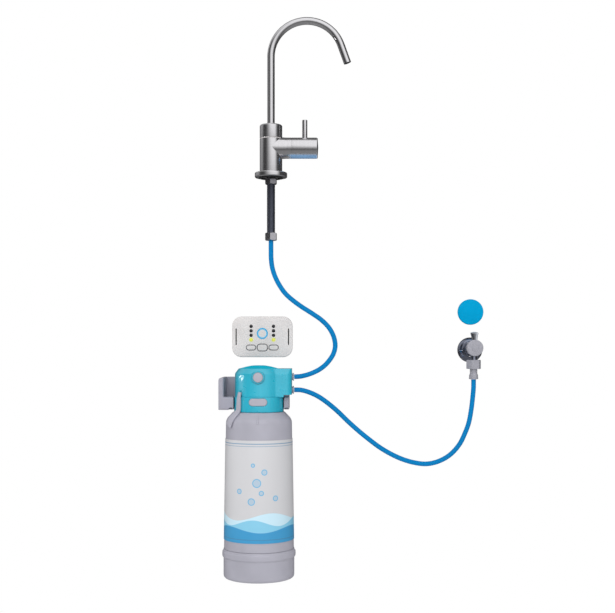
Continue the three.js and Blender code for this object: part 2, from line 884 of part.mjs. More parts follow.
function cartridgeShell() {
  const top = shoulderTop();
  const bend = arcPoints(
    bottleTopRadius - shoulderBend, bottleStraightTop, shoulderBend, halfTurn / 4, 0, cornerSteps,
  ).map((point) => [point.x, point.y]);
  const roof = top - bottleWall;
  const hole = spigotTailRadius + seat;
  const profile = [
    [hole, hubTop], [hubRadius, hubTop], [hubRadius, top], [shoulderRadius, top],
    ...bend,
    [bottleFootRadius, bottleSeam], [bottleFootRadius - bottleWall, bottleSeam],
    [bottleTopRadius - bottleWall, bottleStraightTop],
    [shoulderRadius - bottleWall / 2, roof], [hubRadius - hubWall, roof],
    [hubRadius - hubWall, hubTop - hubWall], [hole, hubTop - hubWall],
  ];
  return named("cartridge_shell", turned(profile, largeSides), greyPlastic);
}

function baseCup() {
  const top = bottleSeam - seat;
  const plugRadius = bottleFootRadius - bottleWall - seat;
  const floor = bottleBottom + bottleWall;
  const inner = plugRadius - bottleWall;
  const bead = [0, 0.3, 0.7, 1].map((share) => beadLevel + beadHeight * (0.5 - share));
  const profile = [
    [0, bottleBottom], [cupRadius - cupCorner, bottleBottom],
    [cupRadius - cupCorner / 3, bottleBottom + cupCorner / 3], [cupRadius, bottleBottom + cupCorner],
    [cupRadius, bead[3]], [beadRadius, bead[2]], [beadRadius, bead[1]], [cupRadius, bead[0]],
    [cupRadius, top], [plugRadius, top], [plugRadius, top + plugHeight], [inner, top + plugHeight],
    [inner, floor], [pedestalRadius, floor], [pedestalRadius, pedestalTop()],
    [pedestalRadius - bottleWall, pedestalTop()], [pedestalRadius - bottleWall, floor], [0, floor],
  ];
  return named("base_cup", turned(profile, largeSides), greyPlastic);
}

function labelSleeve() {
  const topInner = bottleRadiusAt(labelTop) + labelGlue;
  const lowInner = bottleRadiusAt(labelBottom) + labelGlue;
  const profile = [
    [lowInner, labelBottom], [lowInner + labelThickness, labelBottom],
    [topInner + labelThickness, labelTop], [topInner, labelTop],
  ];
  return named("label_sleeve", turned(profile, largeSides), labelFilm);
}

function grooveCorners(level) {
  const floor = spigotRadius - grooveDepth;
  const high = level + grooveHeight / 2;
  const low = level - grooveHeight / 2;
  return [[spigotRadius, high], [floor, high], [floor, low], [spigotRadius, low]];
}

function cartridgeSpigot() {
  const flangeLow = hubTop + seat;
  const flangeTop = flangeLow + spigotFlange;
  const tailRoof = blockHubTop + seat;
  const profile = [
    [spigotBore, spigotTop], [spigotRadius - spigotEdge, spigotTop],
    [spigotRadius, spigotTop - spigotEdge], ...grooveCorners(upperGroove),
    ...grooveCorners(lowerGroove), [spigotRadius, flangeTop], [spigotFlangeRadius, flangeTop],
    [spigotFlangeRadius, flangeLow], [spigotTailRadius, flangeLow],
    [spigotTailRadius, spigotTailEnd], [spigotTailInner, spigotTailEnd],
    [spigotTailInner, tailRoof], [spigotBore, tailRoof],
  ];
  return named("cartridge_spigot", turned(profile, midSides), greyPlastic);
}

function neckSeal(name, level) {
  const radius = spigotRadius - grooveDepth + neckSealRadius + sealStretch;
  const seal = welded(new THREE.TorusGeometry(radius, neckSealRadius, hexSides, midSides));
  return named(name, moved(seal, 0, 0, level), rubber);
}

function wrapRadius() {
  return blockRadius + seat + wrapThickness;
}

function blockTopCap() {
  const low = blockTop + seat;
  const top = low + blockCapThickness;
  const hub = spigotTailInner - 2 * seat;
  const profile = [
    [spigotBore, blockHubTop], [hub, blockHubTop], [hub, top],
    [wrapRadius(), top], [wrapRadius(), low], [spigotBore, low],
  ];
  return named("block_top_cap", turned(profile, midSides), palePlastic);
}

function carbonBlock() {
  return named("carbon_block", ring(blockBore, blockRadius, blockBottom, blockTop, midSides), carbon);
}

function sedimentWrap() {
  const inner = blockRadius + seat;
  return named("sediment_wrap", ring(inner, wrapRadius(), blockBottom, blockTop, midSides), fleece);
}

function bottomCapTop() {
  return blockBottom - seat;
}

function pedestalTop() {
  return bottomCapTop() - blockCapThickness - seat;
}

function blockBottomCap() {
  const top = bottomCapTop();
  const low = top - blockCapThickness;
  const plug = blockBore - seat;
  const profile = [
    [0, low], [wrapRadius(), low], [wrapRadius(), top], [plug, top],
    [plug, top + blockPlugHeight], [0, top + blockPlugHeight],
  ];
  return named("block_bottom_cap", turned(profile, midSides), palePlastic);
}

// Tubes

function freeTube(name, route, steps) {
  const points = route.map(([x, y, z]) => new THREE.Vector3(x, y, z));
  const curve = new THREE.CatmullRomCurve3(points, false, "centripetal");
  return named(name, tubeAlong(curve, tubeDia / 2, 0, tubeSides, steps), tubeBlue);
}

function headTubeEnd(name, level) {
  const end = sideways(rod(tubeDia / 2, portFace - tubeGrip, portFace + colletOut, tinySides));
  return named(name, moved(end, 0, 0, level), tubeBlue);
}

function uprightTubeEnd(name, low, high) {
  return named(name, rod(tubeDia / 2, low, high, tinySides), tubeBlue);
}

// Faucet

class SpoutLine extends THREE.Curve {
  getPoint(share, target = new THREE.Vector3()) {
    const rise = archCentre - spoutRoot;
    const arch = archRadius * archSweep;
    const along = share * (rise + arch + spoutTail);
    if (along <= rise) {
      return target.set(0, 0, spoutRoot + along);
    }
    const turn = halfTurn - Math.min(along - rise, arch) / archRadius;
    const tail = Math.max(0, along - rise - arch);
    const x = archRadius + archRadius * Math.cos(turn) + tail * Math.sin(turn);
    const z = archCentre + archRadius * Math.sin(turn) - tail * Math.cos(turn);
    return target.set(x, 0, z);
  }
}

function faucetBody() {
  const low = flangeHeight + seat;
  const upright = rod(faucetRadius, low, faucetSeam, midSides);
  const branch = moved(sideways(rod(branchRadius, 0, branchEnd, midSides)), 0, 0, branchLevel);
  const spoutSocket = rod(bushRadius + seat, spoutRoot - seat, faucetSeam + overrun, smallSides);
  const valveSocket = sideways(rod(ceramicRadius + seat, branchSocket, branchEnd + overrun, midSides));
  const shankSocket = rod(shankDia / 2 + seat, 0, shankSocketTop, smallSides);
  const waterway = rod(faucetBore / 2, 0, faucetSeam, tinySides);
  const body = cut(
    join(upright, branch),
    spoutSocket,
    moved(valveSocket, 0, 0, branchLevel),
    shankSocket,
    waterway,
  );
  return named("faucet_body", body, steel);
}

function baseFlange() {
  const bore = shankDia / 2 + seat;
  const profile = [
    [bore, 0], [flangeRadius - flangeEdge / 2, 0], [flangeRadius, flangeEdge],
    [flangeRadius, flangeHeight - 1.5 * flangeEdge],
    [flangeRadius - flangeEdge, flangeHeight - flangeEdge / 2],
    [faucetRadius, flangeHeight], [bore, flangeHeight],
  ];
  return named("base_flange", turned(profile, midSides), steel);
}

function flangeGasket() {
  const gasket = ring(gasketBore, gasketRadius, -seat - gasketThickness, -seat, midSides);
  return named("flange_gasket", gasket, rubber);
}

function deckNut() {
  const top = -2 * seat - gasketThickness;
  const low = top - deckNutHeight;
  const profile = [
    [0, low], [nutRadius - nutTaper, low], [nutRadius, low + nutTaper], [nutRadius, top], [0, top],
  ];
  const bore = rod(shankDia / 2 + seat, low - overrun, top + overrun, smallSides);
  return named("deck_nut", cut(turned(profile, hexSides), bore), zinc);
}

function shank() {
  const bore = tubeDia / 2 + tubePlay;
  return named("shank", ring(bore, shankDia / 2, shankEnd, shankSocketTop - seat, smallSides), darkSteel);
}

function shankNut() {
  const edge = nutTaper / 2;
  const profile = [
    [0, shankNutEnd], [nutRadius - edge, shankNutEnd], [nutRadius, shankNutEnd + edge],
    [nutRadius, shankNutTop - edge], [nutRadius - edge, shankNutTop], [0, shankNutTop],
  ];
  const thread = rod(shankDia / 2 + seat, shankNutEnd + nutLip, shankNutTop + overrun, smallSides);
  const hole = rod(tubeDia / 2 + tubePlay, shankNutEnd - overrun, shankNutTop, smallSides);
  return named("shank_nut", cut(turned(profile, hexSides), thread, hole), zinc);
}

function swivelRing() {
  const bore = bushRadius + seat;
  const profile = [
    [bore, faucetSeam + seat], [faucetRadius, faucetSeam + seat], [faucetRadius, swivelTop - swivelEdge],
    [faucetRadius - swivelEdge, swivelTop], [bore, swivelTop],
  ];
  return named("swivel_ring", turned(profile, midSides), steel);
}

function spout() {
  const bore = spoutDia / 2 - spoutWall;
  const tube = tubeAlong(new SpoutLine(), spoutDia / 2, bore, smallSides, spoutSteps);
  return named("spout", tube, steel);
}

function spoutBush() {
  const bore = spoutDia / 2 + seat;
  const flange = swivelTop + seat;
  const profile = [
    [bore, spoutRoot], [bushRadius, spoutRoot], [bushRadius, flange], [bushCollarRadius, flange],
    [bushCollarRadius, flange + bushCollarHeight], [bore, flange + bushCollarHeight],
  ];
  return named("spout_bush", turned(profile, smallSides), palePlastic);
}

function aerator() {
  const outer = (spoutDia / 2 - spoutWall) * Math.cos(halfTurn / tubeSides) - seat / 2;
  const cup = turned([
    [0, 0], [outer, 0], [outer, aeratorLength], [outer - aeratorWall, aeratorLength],
    [outer - aeratorWall, aeratorWall], [0, aeratorWall],
  ], smallSides);
  const tip = new SpoutLine().getPoint(1);
  const lean = archSweep;
  const placed = cup.translate(0, 0, -aeratorLength).rotateY(lean).translate(tip.x, tip.y, tip.z);
  return named("aerator", placed, darkPlastic);
}

function ceramicCartridge() {
  const low = branchSocket + seat;
  const high = branchEnd + seat + ceramicInSleeve;
  return named("ceramic_cartridge", sideways(rod(ceramicRadius, low, high, midSides)), brass);
}

function valveStem() {
  const low = branchEnd + 2 * seat + ceramicInSleeve;
  return named("valve_stem", sideways(rod(stemDia / 2, low, low + stemInSleeve, smallSides)), brass);
}

function handleSleeve() {
  const low = branchEnd + seat;
  const well = low + ceramicInSleeve + seat;
  const stemEnd = well + stemInSleeve + seat;
  const profile = [
    [ceramicRadius + seat, low], [branchRadius, low], [branchRadius, sleeveEnd], [0, sleeveEnd],
    [0, stemEnd], [stemDia / 2 + seat / 2, stemEnd], [stemDia / 2 + seat / 2, well],
    [ceramicRadius + seat, well],
  ];
  const hole = rod(pinDia / 2 + pinPlay, pinRoot - seat, branchRadius + overrun, smallSides);
  const sleeve = cut(sideways(turned(profile, midSides)), moved(hole, pinPlace, 0, 0));
  return named("handle_sleeve", sleeve, steel);
}

function handlePin() {
  const top = pinReach;
  const edge = pinPlay * 3;
  const profile = [
    [0, pinRoot], [pinDia / 2, pinRoot], [pinDia / 2, top - edge], [pinDia / 2 - edge, top], [0, top],
  ];
  return named("handle_pin", moved(turned(profile, smallSides), pinPlace, 0, 0), steel);
}

function handleCap() {
  const low = sleeveEnd + seat;
  const cap = sideways(rod(endCapRadius, low, low + endCapThickness, midSides));
  return named("handle_cap", cap, darkSteel);
}

function faucetHandle() {
  const group = new THREE.Group();
  group.position.z = branchLevel;
  group.add(ceramicCartridge(), valveStem(), handleSleeve(), handlePin(), handleCap());
  return group;
}

// Angle valve

function escutcheon() {
  const bore = valveRadius + seat;
  const profile = [
    [bore, 0], [roseRadius, 0], [roseRadius, roseRim], [roseRadius - roseRim, roseHeight / 2],
    [roseNeck + roseRim / 2, roseHeight * 0.75], [roseNeck, roseHeight], [bore, roseHeight],
  ];
  return named("escutcheon", outward(turned(profile, midSides)), darkSteel);
}

function valveBody() {
  const barrel = outward(rod(valveRadius, 0, valveFront, midSides));
  const flats = outward(rod(valveHexRadius, valveHexStart, valveHexStart + valveHexWidth, hexSides));
  const outlet = turned([
    [0, 0], [0, outletEnd], [outletThreadRadius, outletEnd], [outletThreadRadius, outletShoulder],
    [outletRadius, outletShoulder], [outletRadius, 0],
  ], smallSides);
  const inlet = outward(rod(valveBore, -overrun, valveBoreEnd, smallSides));
  const neck = outward(rod(spindleDia / 2 + seat, valveBoreEnd - overrun, valveFront + overrun, smallSides));
  const drain = rod(outletBoreDia / 2, outletEnd - overrun, 0, tinySides);
  const body = cut(
    join(barrel, flats, moved(outlet, 0, -outletOut, 0)),
    inlet,
    neck,
    moved(drain, 0, -outletOut, 0),
  );
  return named("valve_body", body, darkSteel);
}

function valveHandle() {
  const back = valveFront + seat;
  const knob = outward(turned([
    [0, back], [handleRadius - handleEdge / 2, back], [handleRadius, back + handleEdge / 2],
    [handleRadius, handleFront - handleEdge], [handleRadius - handleEdge, handleFront], [0, handleFront],
  ], midSides));
  const tab = new THREE.Shape();
  const rise = tabTop - tabRoot;
  tab.moveTo(-tabNeckWidth / 2, 0);
  tab.lineTo(tabNeckWidth / 2, 0);
  tab.lineTo(tabTopWidth / 2, rise - tabThickness / 2);
  tab.lineTo(tabTopWidth / 2 - tabThickness / 2, rise);
  tab.lineTo(tabThickness / 2 - tabTopWidth / 2, rise);
  tab.lineTo(-tabTopWidth / 2, rise - tabThickness / 2);
  const blade = outward(slab(tab, -tabThickness / 2, tabThickness / 2)).rotateX(-tabLean);
  const middle = (back + handleFront) / 2;
  const spindle = outward(rod(spindleDia / 2, valveBoreEnd + seat, middle, smallSides));
  const screwHole = outward(rod(
    handleScrewShank / 2 + seat, handleFront - handleScrewDepth - seat, handleFront + overrun, tinySides,
  ));
  const handle = cut(join(knob, moved(blade, 0, -middle, tabRoot), spindle), screwHole);
  return named("valve_handle", handle, zinc);
}

function handleScrew() {
  const low = handleFront - handleScrewDepth;
  const under = handleFront + seat;
  const top = under + handleScrewHeight;
  const screw = outward(turned([
    [0, low], [handleScrewShank / 2, low], [handleScrewShank / 2, under], [handleScrewDia / 2, under],
    [handleScrewDia / 2 - handleScrewHeight / 2, top], [0, top],
  ], smallSides));
  return named("handle_screw", screw, zinc);
}

function adaptorFlangeTop() {
  return outletEnd - seat;
}

function adaptorTubeEnd() {
  return adaptorMouthEnd - adaptorColletOut;
}

function adaptorTubeStop() {
  return adaptorTubeEnd() + tubeGrip;
}

function adaptorBody() {
  const top = adaptorFlangeTop();
  const under = top - adaptorFlange;
  const outer = turned([
    [0, top], [adaptorFlangeRadius, top], [adaptorFlangeRadius, under], [adaptorNeckRadius, under],
    [adaptorNeckRadius, adaptorNeckEnd], [adaptorMouthRadius, adaptorNeckEnd - colletFlange],
    [adaptorMouthRadius, adaptorMouthEnd], [0, adaptorMouthEnd],
  ], smallSides);
  const tubeRoom = rod(tubeDia / 2 + tubePlay, adaptorMouthEnd - overrun, adaptorTubeStop(), smallSides);
  const colletTop = adaptorMouthEnd + adaptorColletLength + colletFlange;
  const colletRoom = rod(portRadius(), adaptorMouthEnd - overrun, colletTop, smallSides);
  const waterway = rod(waterwayDia / 2, adaptorMouthEnd, top + overrun, tinySides);
  return named("adaptor_body", cut(outer, tubeRoom, colletRoom, waterway), zinc);
}

function adaptorNut() {
  const low = adaptorNutTop - adaptorNutHeight;
  const edge = adaptorNutLip;
  const profile = [
    [0, low], [adaptorNutRadius - edge, low], [adaptorNutRadius, low + edge],
    [adaptorNutRadius, adaptorNutTop - edge], [adaptorNutRadius - edge, adaptorNutTop], [0, adaptorNutTop],
  ];
  const lipTop = adaptorFlangeTop() - adaptorFlange - seat;
  const thread = rod(outletThreadRadius + seat, lipTop, adaptorNutTop + overrun, midSides);
  const hole = rod(adaptorNeckRadius + seat, low - overrun, adaptorNutTop, smallSides);
  return named("adaptor_nut", cut(turned(profile, hexSides), thread, hole), zinc);
}

function adaptorCollet() {
  const sleeve = collet(adaptorColletOut, adaptorColletLength).rotateX(halfTurn);
  return named("adaptor_collet", moved(sleeve, 0, 0, adaptorMouthEnd), greyPlastic);
}

function adaptor() {
  const group = new THREE.Group();
  group.position.y = -outletOut;
  group.add(
    adaptorBody(), adaptorNut(), adaptorCollet(),
    uprightTubeEnd("valve_tube_end", adaptorTubeEnd(), adaptorTubeStop() - seat),
  );
  return group;
}

// Indicator panel

function panelOutline(inset) {
  return roundedOutline(panelWidth, panelHeight, panelRadius, inset);
}

function panelSlab(inset, low, high) {
  return slab(new THREE.Shape(panelOutline(inset)), low, high);
}

function boardFront() {
  return panelDepth - panelFace - boardGap;
}

function ledPlaces() {
  const places = [];
  for (let row = 0; row < ledRows; row += 1) {
    for (const side of [-1, 1]) {
      places.push([side * ledSpread, ledTopRow - row * ledPitch]);
    }
  }
  return places;
}

function panelBack() {
  const shell = cut(
    panelSlab(0, 0, panelBackDepth),
    panelSlab(panelWall, panelWall, panelBackDepth + overrun),
  );
  const top = boardFront() - boardThickness - seat;
  const post = rod(postRadius, panelWall / 2, top, tinySides);
  const posts = [-1, 1].flatMap((x) => [-1, 1].map((y) => (
    moved(post, x * postInsetShare * panelWidth, y * postInsetShare * panelHeight, 0)
  )));
  return named("panel_back", outward(join(shell, ...posts)), palePlastic);
}

function keyShape(width, height, play) {
  return pillShape(width + 2 * play, height + 2 * play);
}

function panelFront() {
  const low = panelBackDepth + seat;
  const shell = lofted([
    [low, panelOutline(0)],
    [panelDepth - panelEdge, panelOutline(0)],
    [panelDepth - panelEdge / 3, panelOutline(panelEdge / 3)],
    [panelDepth, panelOutline(panelEdge)],
  ]);
  const inside = panelDepth - panelFace;
  const reach = panelDepth + overrun;
  const led = rod(ledDia / 2 + seat / 2, inside - overrun, reach, tinySides);
  const sideKey = slab(keyShape(sideKeyWidth, sideKeyHeight, seat), inside - overrun, reach);
  const middleKey = slab(keyShape(middleKeyWidth, middleKeyHeight, seat), inside - overrun, reach);
  const slot = slab(pillShape(slotHeight, slotWidth), inside - overrun, reach).rotateZ(quarterTurn);
  const halo = ring(
    haloRadius - haloWidth - seat / 2, haloRadius + seat / 2, panelDepth - haloDepth - seat, reach, midSides,
  );
  const tools = [
    panelSlab(panelWall, low - overrun, inside),
    ...ledPlaces().map(([x, y]) => moved(led, x, y, 0)),
    moved(sideKey, -keySpread, keyLevel, 0),
    moved(sideKey, keySpread, keyLevel, 0),
    moved(middleKey, 0, keyLevel, 0),
    moved(slot, -slotSpread, 0, 0),
    moved(slot, slotSpread, 0, 0),
    moved(halo, 0, haloLevel, 0),
  ];
  return named("panel_front", outward(cut(shell, ...tools)), palePlastic);
}

function circuitBoard() {
  const back = boardFront() - boardThickness;
  const board = panelSlab(boardInset, back, boardFront());
  const cell = rod(cellRadius, back - cellThickness, back + boardThickness / 2, smallSides);
  return named("circuit_board", outward(join(board, moved(cell, cellPlace, 0, 0))), boardGreen);
}

function panelKey(name, width, height, place) {
  const low = boardFront() + keyFloat;
  const key = outward(slab(pillShape(width, height), low, panelDepth + keyProud));
  return named(name, moved(key, place, 0, keyLevel), palePlastic);
}

function ledLenses() {
  const low = boardFront() + seat;
  const high = panelDepth - panelFace - seat;
  const middle = ledTopRow - ((ledRows - 1) * ledPitch) / 2;
  const guide = moved(box(guideWidth, guideHeight, low, high), 0, middle, 0);
  const lens = rod(ledDia / 2, low, panelDepth + lensProud, tinySides);
  const lenses = ledPlaces().map(([x, z]) => moved(lens, x, z, 0));
  return named("led_lenses", outward(join(guide, ...lenses)), lensYellow);
}

function ringLight() {
  const back = panelDepth - haloDepth;
  const light = ring(haloRadius - haloWidth, haloRadius, back, panelDepth + lensProud, midSides);
  return named("ring_light", moved(outward(light), 0, 0, haloLevel), haloBlue);
}

// Marker

function markerDisc() {
  const top = markerThickness;
  const profile = [
    [0, 0], [markerRadius, 0], [markerRadius, top - markerEdge],
    [markerRadius - markerEdge / 3, top - markerEdge / 3], [markerRadius - markerEdge, top], [0, top],
  ];
  return named("marker_disc", outward(turned(profile, largeSides)), markerBlue);
}

function assembly(x, y, z, pieces) {
  const group = new THREE.Group();
  group.position.set(x, y, z);
  group.add(...pieces);
  return group;
}

const filter = assembly(0, -filterOut, 0, [
  headHousing(), bleedButton(), bleedSpring(),
  headCollet("upper_collet", upperPort), headCollet("lower_collet", lowerPort),
  headTubeEnd("upper_tube_end", upperPort), headTubeEnd("lower_tube_end", lowerPort),
  gripLever(), leverPin(), lockingCollar(), latchButton(),
  cartridgeShell(), baseCup(), labelSleeve(), cartridgeSpigot(),
  neckSeal("upper_neck_seal", upperGroove), neckSeal("lower_neck_seal", lowerGroove),
  blockTopCap(), carbonBlock(), sedimentWrap(), blockBottomCap(),
]);

const faucet = assembly(faucetRight, -filterOut, faucetUp, [
  faucetBody(), baseFlange(), flangeGasket(), deckNut(), shank(), shankNut(),
  uprightTubeEnd("faucet_tube_end", shankNutEnd, shankNutEnd + tubeGrip),
  swivelRing(), spout(), spoutBush(), aerator(), faucetHandle(),
]);

const valve = assembly(valveRight, 0, valveUp, [
  escutcheon(), valveBody(), valveHandle(), handleScrew(), adaptor(),
]);

const panel = assembly(panelRight, 0, panelUp, [
  panelBack(), panelFront(), circuitBoard(), ledLenses(), ringLight(),
  panelKey("button_left", sideKeyWidth, sideKeyHeight, -keySpread),
  panelKey("button_middle", middleKeyWidth, middleKeyHeight, 0),
  panelKey("button_right", sideKeyWidth, sideKeyHeight, keySpread),
]);

const group = assembly(0, 0, 0, [
  wallBracket(), wallScrew("wall_screw_left", -wallScrewSpread),
  wallScrew("wall_screw_right", wallScrewSpread), headScrew(), filter, faucet, valve, panel,
  assembly(markerRight, 0, markerUp, [markerDisc()]),
  freeTube("faucet_tube", faucetTubeRoute, faucetTubeSteps),
  freeTube("supply_tube", supplyTubeRoute, supplyTubeSteps),
]);

export default group;
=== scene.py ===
"""Looks of an under-sink drinking water kit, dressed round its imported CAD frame.

Sizes are millimetres in the part's own frame: +X right, +Y into the wall, +Z up.
"""

import logging
import math
from collections.abc import Sequence
from dataclasses import dataclass
from enum import Enum

import bmesh
import bpy
import numpy as np
from mathutils import Matrix, Vector


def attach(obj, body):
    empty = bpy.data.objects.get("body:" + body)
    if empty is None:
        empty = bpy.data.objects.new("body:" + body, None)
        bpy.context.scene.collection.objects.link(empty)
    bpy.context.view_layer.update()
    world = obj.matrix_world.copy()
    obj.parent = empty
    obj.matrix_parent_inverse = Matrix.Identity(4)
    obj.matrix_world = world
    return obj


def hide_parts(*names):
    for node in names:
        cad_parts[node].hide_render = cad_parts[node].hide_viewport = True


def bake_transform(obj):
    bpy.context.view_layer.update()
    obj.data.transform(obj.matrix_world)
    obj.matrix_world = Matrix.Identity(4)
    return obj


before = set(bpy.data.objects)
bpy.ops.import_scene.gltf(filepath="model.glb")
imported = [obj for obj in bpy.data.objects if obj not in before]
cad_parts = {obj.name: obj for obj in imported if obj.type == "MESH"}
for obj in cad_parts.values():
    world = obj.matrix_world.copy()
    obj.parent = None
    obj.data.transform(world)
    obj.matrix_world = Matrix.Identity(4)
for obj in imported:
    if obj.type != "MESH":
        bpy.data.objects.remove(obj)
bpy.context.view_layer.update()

MM = 0.001
TURN = 2 * math.pi
FITTING_GAP = 0.3
# How far the filter's axis stands out from the wall
AXIS_OUT = 60.0
# Points round turned pieces, the widest first
WIDEST = 160
FINE = 128
MEDIUM = 72
SMALL = 40
Array = np.ndarray
Triple = tuple[float, float, float]
Colour = Triple
log = logging.getLogger("water_kit")


class Body(Enum):
    """The CAD bodies that pieces ride on."""

    FIXED = "fixed_parts"
    BLEED = "bleed_button"
    UPPER_COLLET = "upper_collet"
    LOWER_COLLET = "lower_collet"
    ADAPTOR_COLLET = "adaptor_collet"
    LEVER = "grip_lever"
    COLLAR = "locking_collar"
    LATCH = "latch_button"
    CARTRIDGE = "cartridge"
    SPOUT = "spout"
    FAUCET_HANDLE = "faucet_handle"
    VALVE_HANDLE = "valve_handle"
    KEY_LEFT = "button_left"
    KEY_MIDDLE = "button_middle"
    KEY_RIGHT = "button_right"


class Axis(Enum):
    """Ways to lay a shape that is worked out along Z, as the rows of a turn."""

    DOWN = ((1, 0, 0), (0, -1, 0), (0, 0, -1))
    OUT = ((1, 0, 0), (0, 0, -1), (0, 1, 0))
    RIGHT = ((0, 0, 1), (0, 1, 0), (-1, 0, 0))

    def lay(self, points: Array) -> Array:
        """Points turned from Z to this way."""
        return points @ np.array(self.value, float).T


class Cut(Enum):
    """How one solid changes another."""

    JOIN = "UNION"
    TAKE = "DIFFERENCE"
    KEEP = "INTERSECT"


# Shader graphs
class Value:
    """A shader socket that answers to Python's arithmetic."""

    def __init__(self, graph: "Graph", socket: bpy.types.NodeSocket) -> None:
        """Wraps one output socket of a graph."""
        self.graph = graph
        self.socket = socket

    def _maths(self, operation: str, *terms: "Value | float") -> "Value":
        """One Math node on the terms."""
        return self.graph.node("ShaderNodeMath", {"operation": operation}, *terms)

    def __add__(self, other: "Value | float") -> "Value":
        """Sum."""
        return self._maths("ADD", self, other)

    def __sub__(self, other: "Value | float") -> "Value":
        """Difference."""
        return self._maths("SUBTRACT", self, other)

    def __rsub__(self, other: "Value | float") -> "Value":
        """Reflected difference, so that 1 - mask works."""
        return self._maths("SUBTRACT", other, self)

    def __mul__(self, other: "Value | float") -> "Value":
        """Product."""
        return self._maths("MULTIPLY", self, other)

    def __truediv__(self, other: "Value | float") -> "Value":
        """Quotient."""
        return self._maths("DIVIDE", self, other)

    __radd__ = __add__
    __rmul__ = __mul__

    def size(self) -> "Value":
        """Absolute value."""
        return self._maths("ABSOLUTE", self)

    def sine(self) -> "Value":
        """Sine of radians."""
        return self._maths("SINE", self)

    def root(self) -> "Value":
        """Square root."""
        return self._maths("SQRT", self)

    def most(self, other: "Value | float") -> "Value":
        """The larger of two."""
        return self._maths("MAXIMUM", self, other)

    def step(self, low: float, high: float) -> "Value":
        """Rises from 0 at low to 1 at high."""
        settings = {"interpolation_type": "SMOOTHSTEP"}
        return self.graph.node("ShaderNodeMapRange", settings, self, low, high, 0.0, 1.0)

    def span(self, low: float, high: float) -> "Value":
        """Stretches 0..1 to low..high."""
        return self * (high - low) + low


def linear(colour: Colour) -> tuple[float, float, float, float]:
    """Scene-linear colour of an sRGB one.

    Args:
        colour: red, green and blue from 0 to 255.

    Returns:
        The linear colour with full alpha.
    """
    shares = [part / 255 for part in colour]
    light = [s / 12.92 if s <= 0.04045 else ((s + 0.055) / 1.055) ** 2.4 for s in shares]
    return (*light, 1.0)


def shaded(base: Sequence[float], factor: float) -> tuple[float, ...]:
    """A linear colour times a factor, up to full light, with full alpha."""
    return (*(min(1.0, part * factor) for part in base[:3]), 1.0)


class Graph:
    """A material or world whose nodes are made by one method."""

    def __init__(self, owner: bpy.types.ID) -> None:
        """Empties the node tree of the owner.

        Args:
            owner: a material or a world.
        """
        owner.use_nodes = True
        self.tree = owner.node_tree
        self.tree.nodes.clear()

    def node(
        self,
        kind: str,
        settings: dict[str, object] | None = None,
        *inputs: object,
        out: int | str = 0,
        **named: object,
    ) -> Value:
        """One node, its settings made first and then its sockets.

        Args:
            kind: the node's type.
            settings: the node's own properties.
            inputs: values or links in the sockets' order; None leaves one as it is.
            out: the output to hand back.
            named: values or links by socket name, with _ for a space.

        Returns:
            The chosen output.
        """
        made = self.tree.nodes.new(kind)
        for key, value in (settings or {}).items():
            setattr(made, key, value)
        pairs = list(enumerate(inputs)) + [(k.replace("_", " "), v) for k, v in named.items()]
        for key, value in pairs:
            if isinstance(value, Value):
                self.tree.links.new(value.socket, made.inputs[key])
            elif value is not None:
                made.inputs[key].default_value = value
        return Value(self, made.outputs[out])

    def mix(self, share: Value | float, low: object, high: object) -> Value:
        """Colour that goes from low to high as the share goes from 0 to 1.

        Args:
            share: the factor.
            low: the colour at 0, a link or four numbers.
            high: the colour at 1.

        Returns:
            The mixed colour.
        """
        made = self.tree.nodes.new("ShaderNodeMix")
        made.data_type = "RGBA"
        for index, value in ((0, share), (6, low), (7, high)):
            if isinstance(value, Value):
                self.tree.links.new(value.socket, made.inputs[index])
            else:
                made.inputs[index].default_value = value
        return Value(self, made.outputs[2])

    def place(self) -> Value:
        """Object coordinates, in metres."""
        return self.node("ShaderNodeTexCoord", out="Object")

    def parts(self, vector: Value) -> list[Value]:
        """X, Y and Z of a vector in metres, each in millimetres.

        Args:
            vector: a link to the vector.

        Returns:
            The three values.
        """
        split = self.node("ShaderNodeSeparateXYZ", None, vector)
        outputs = split.socket.node.outputs
        return [Value(self, outputs[i]) / MM for i in range(3)]

    def noise(self, across: Triple | float, detail: float = 2.0, seed: float = 0.0) -> Value:
        """Noise from 0 to 1.

        Args:
            across: length of one blotch in millimetres, or one for each axis.
            detail: octaves.
            seed: moves the noise.

        Returns:
            The noise's factor.
        """
        sizes = (across,) * 3 if isinstance(across, (int, float)) else across
        scale = tuple(1 / (size * MM) for size in sizes)
        offset = (seed, seed, seed)
        mapped = self.node("ShaderNodeMapping", None, self.place(), offset, None, scale)
        return self.node("ShaderNodeTexNoise", None, mapped, Scale=1.0, Detail=detail)

    def bump(self, height: Value, depth: float) -> Value:
        """Normal of a relief whose full height is depth millimetres."""
        return self.node("ShaderNodeBump", None, Strength=1.0, Distance=depth * MM, Height=height)

    def finish(self, **named: object) -> None:
        """Principled surface with these sockets, wired to the output."""
        shader = self.node("ShaderNodeBsdfPrincipled", None, **named)
        self.node_output(shader, "ShaderNodeOutputMaterial")

    def node_output(self, shader: Value, kind: str) -> None:
        """Wires a shader to an output node of the given type."""
        output = self.tree.nodes.new(kind)
        self.tree.links.new(shader.socket, output.inputs["Surface"])


# Finishes
@dataclass(frozen=True)
class Finish:
    """A surface finish: a record slot, a colour and how the light leaves it."""

    name: str
    slot: str
    colour: Colour
    roughness: float

    def material(self) -> bpy.types.Material:
        """The finish's material, made once.

        Returns:
            The material.
        """
        found = bpy.data.materials.get(self.name)
        if found is None:
            found = bpy.data.materials.new(self.name)
            self.paint(Graph(found))
        return found

    def paint(self, graph: Graph) -> None:
        """Builds the nodes of the finish."""
        raise NotImplementedError


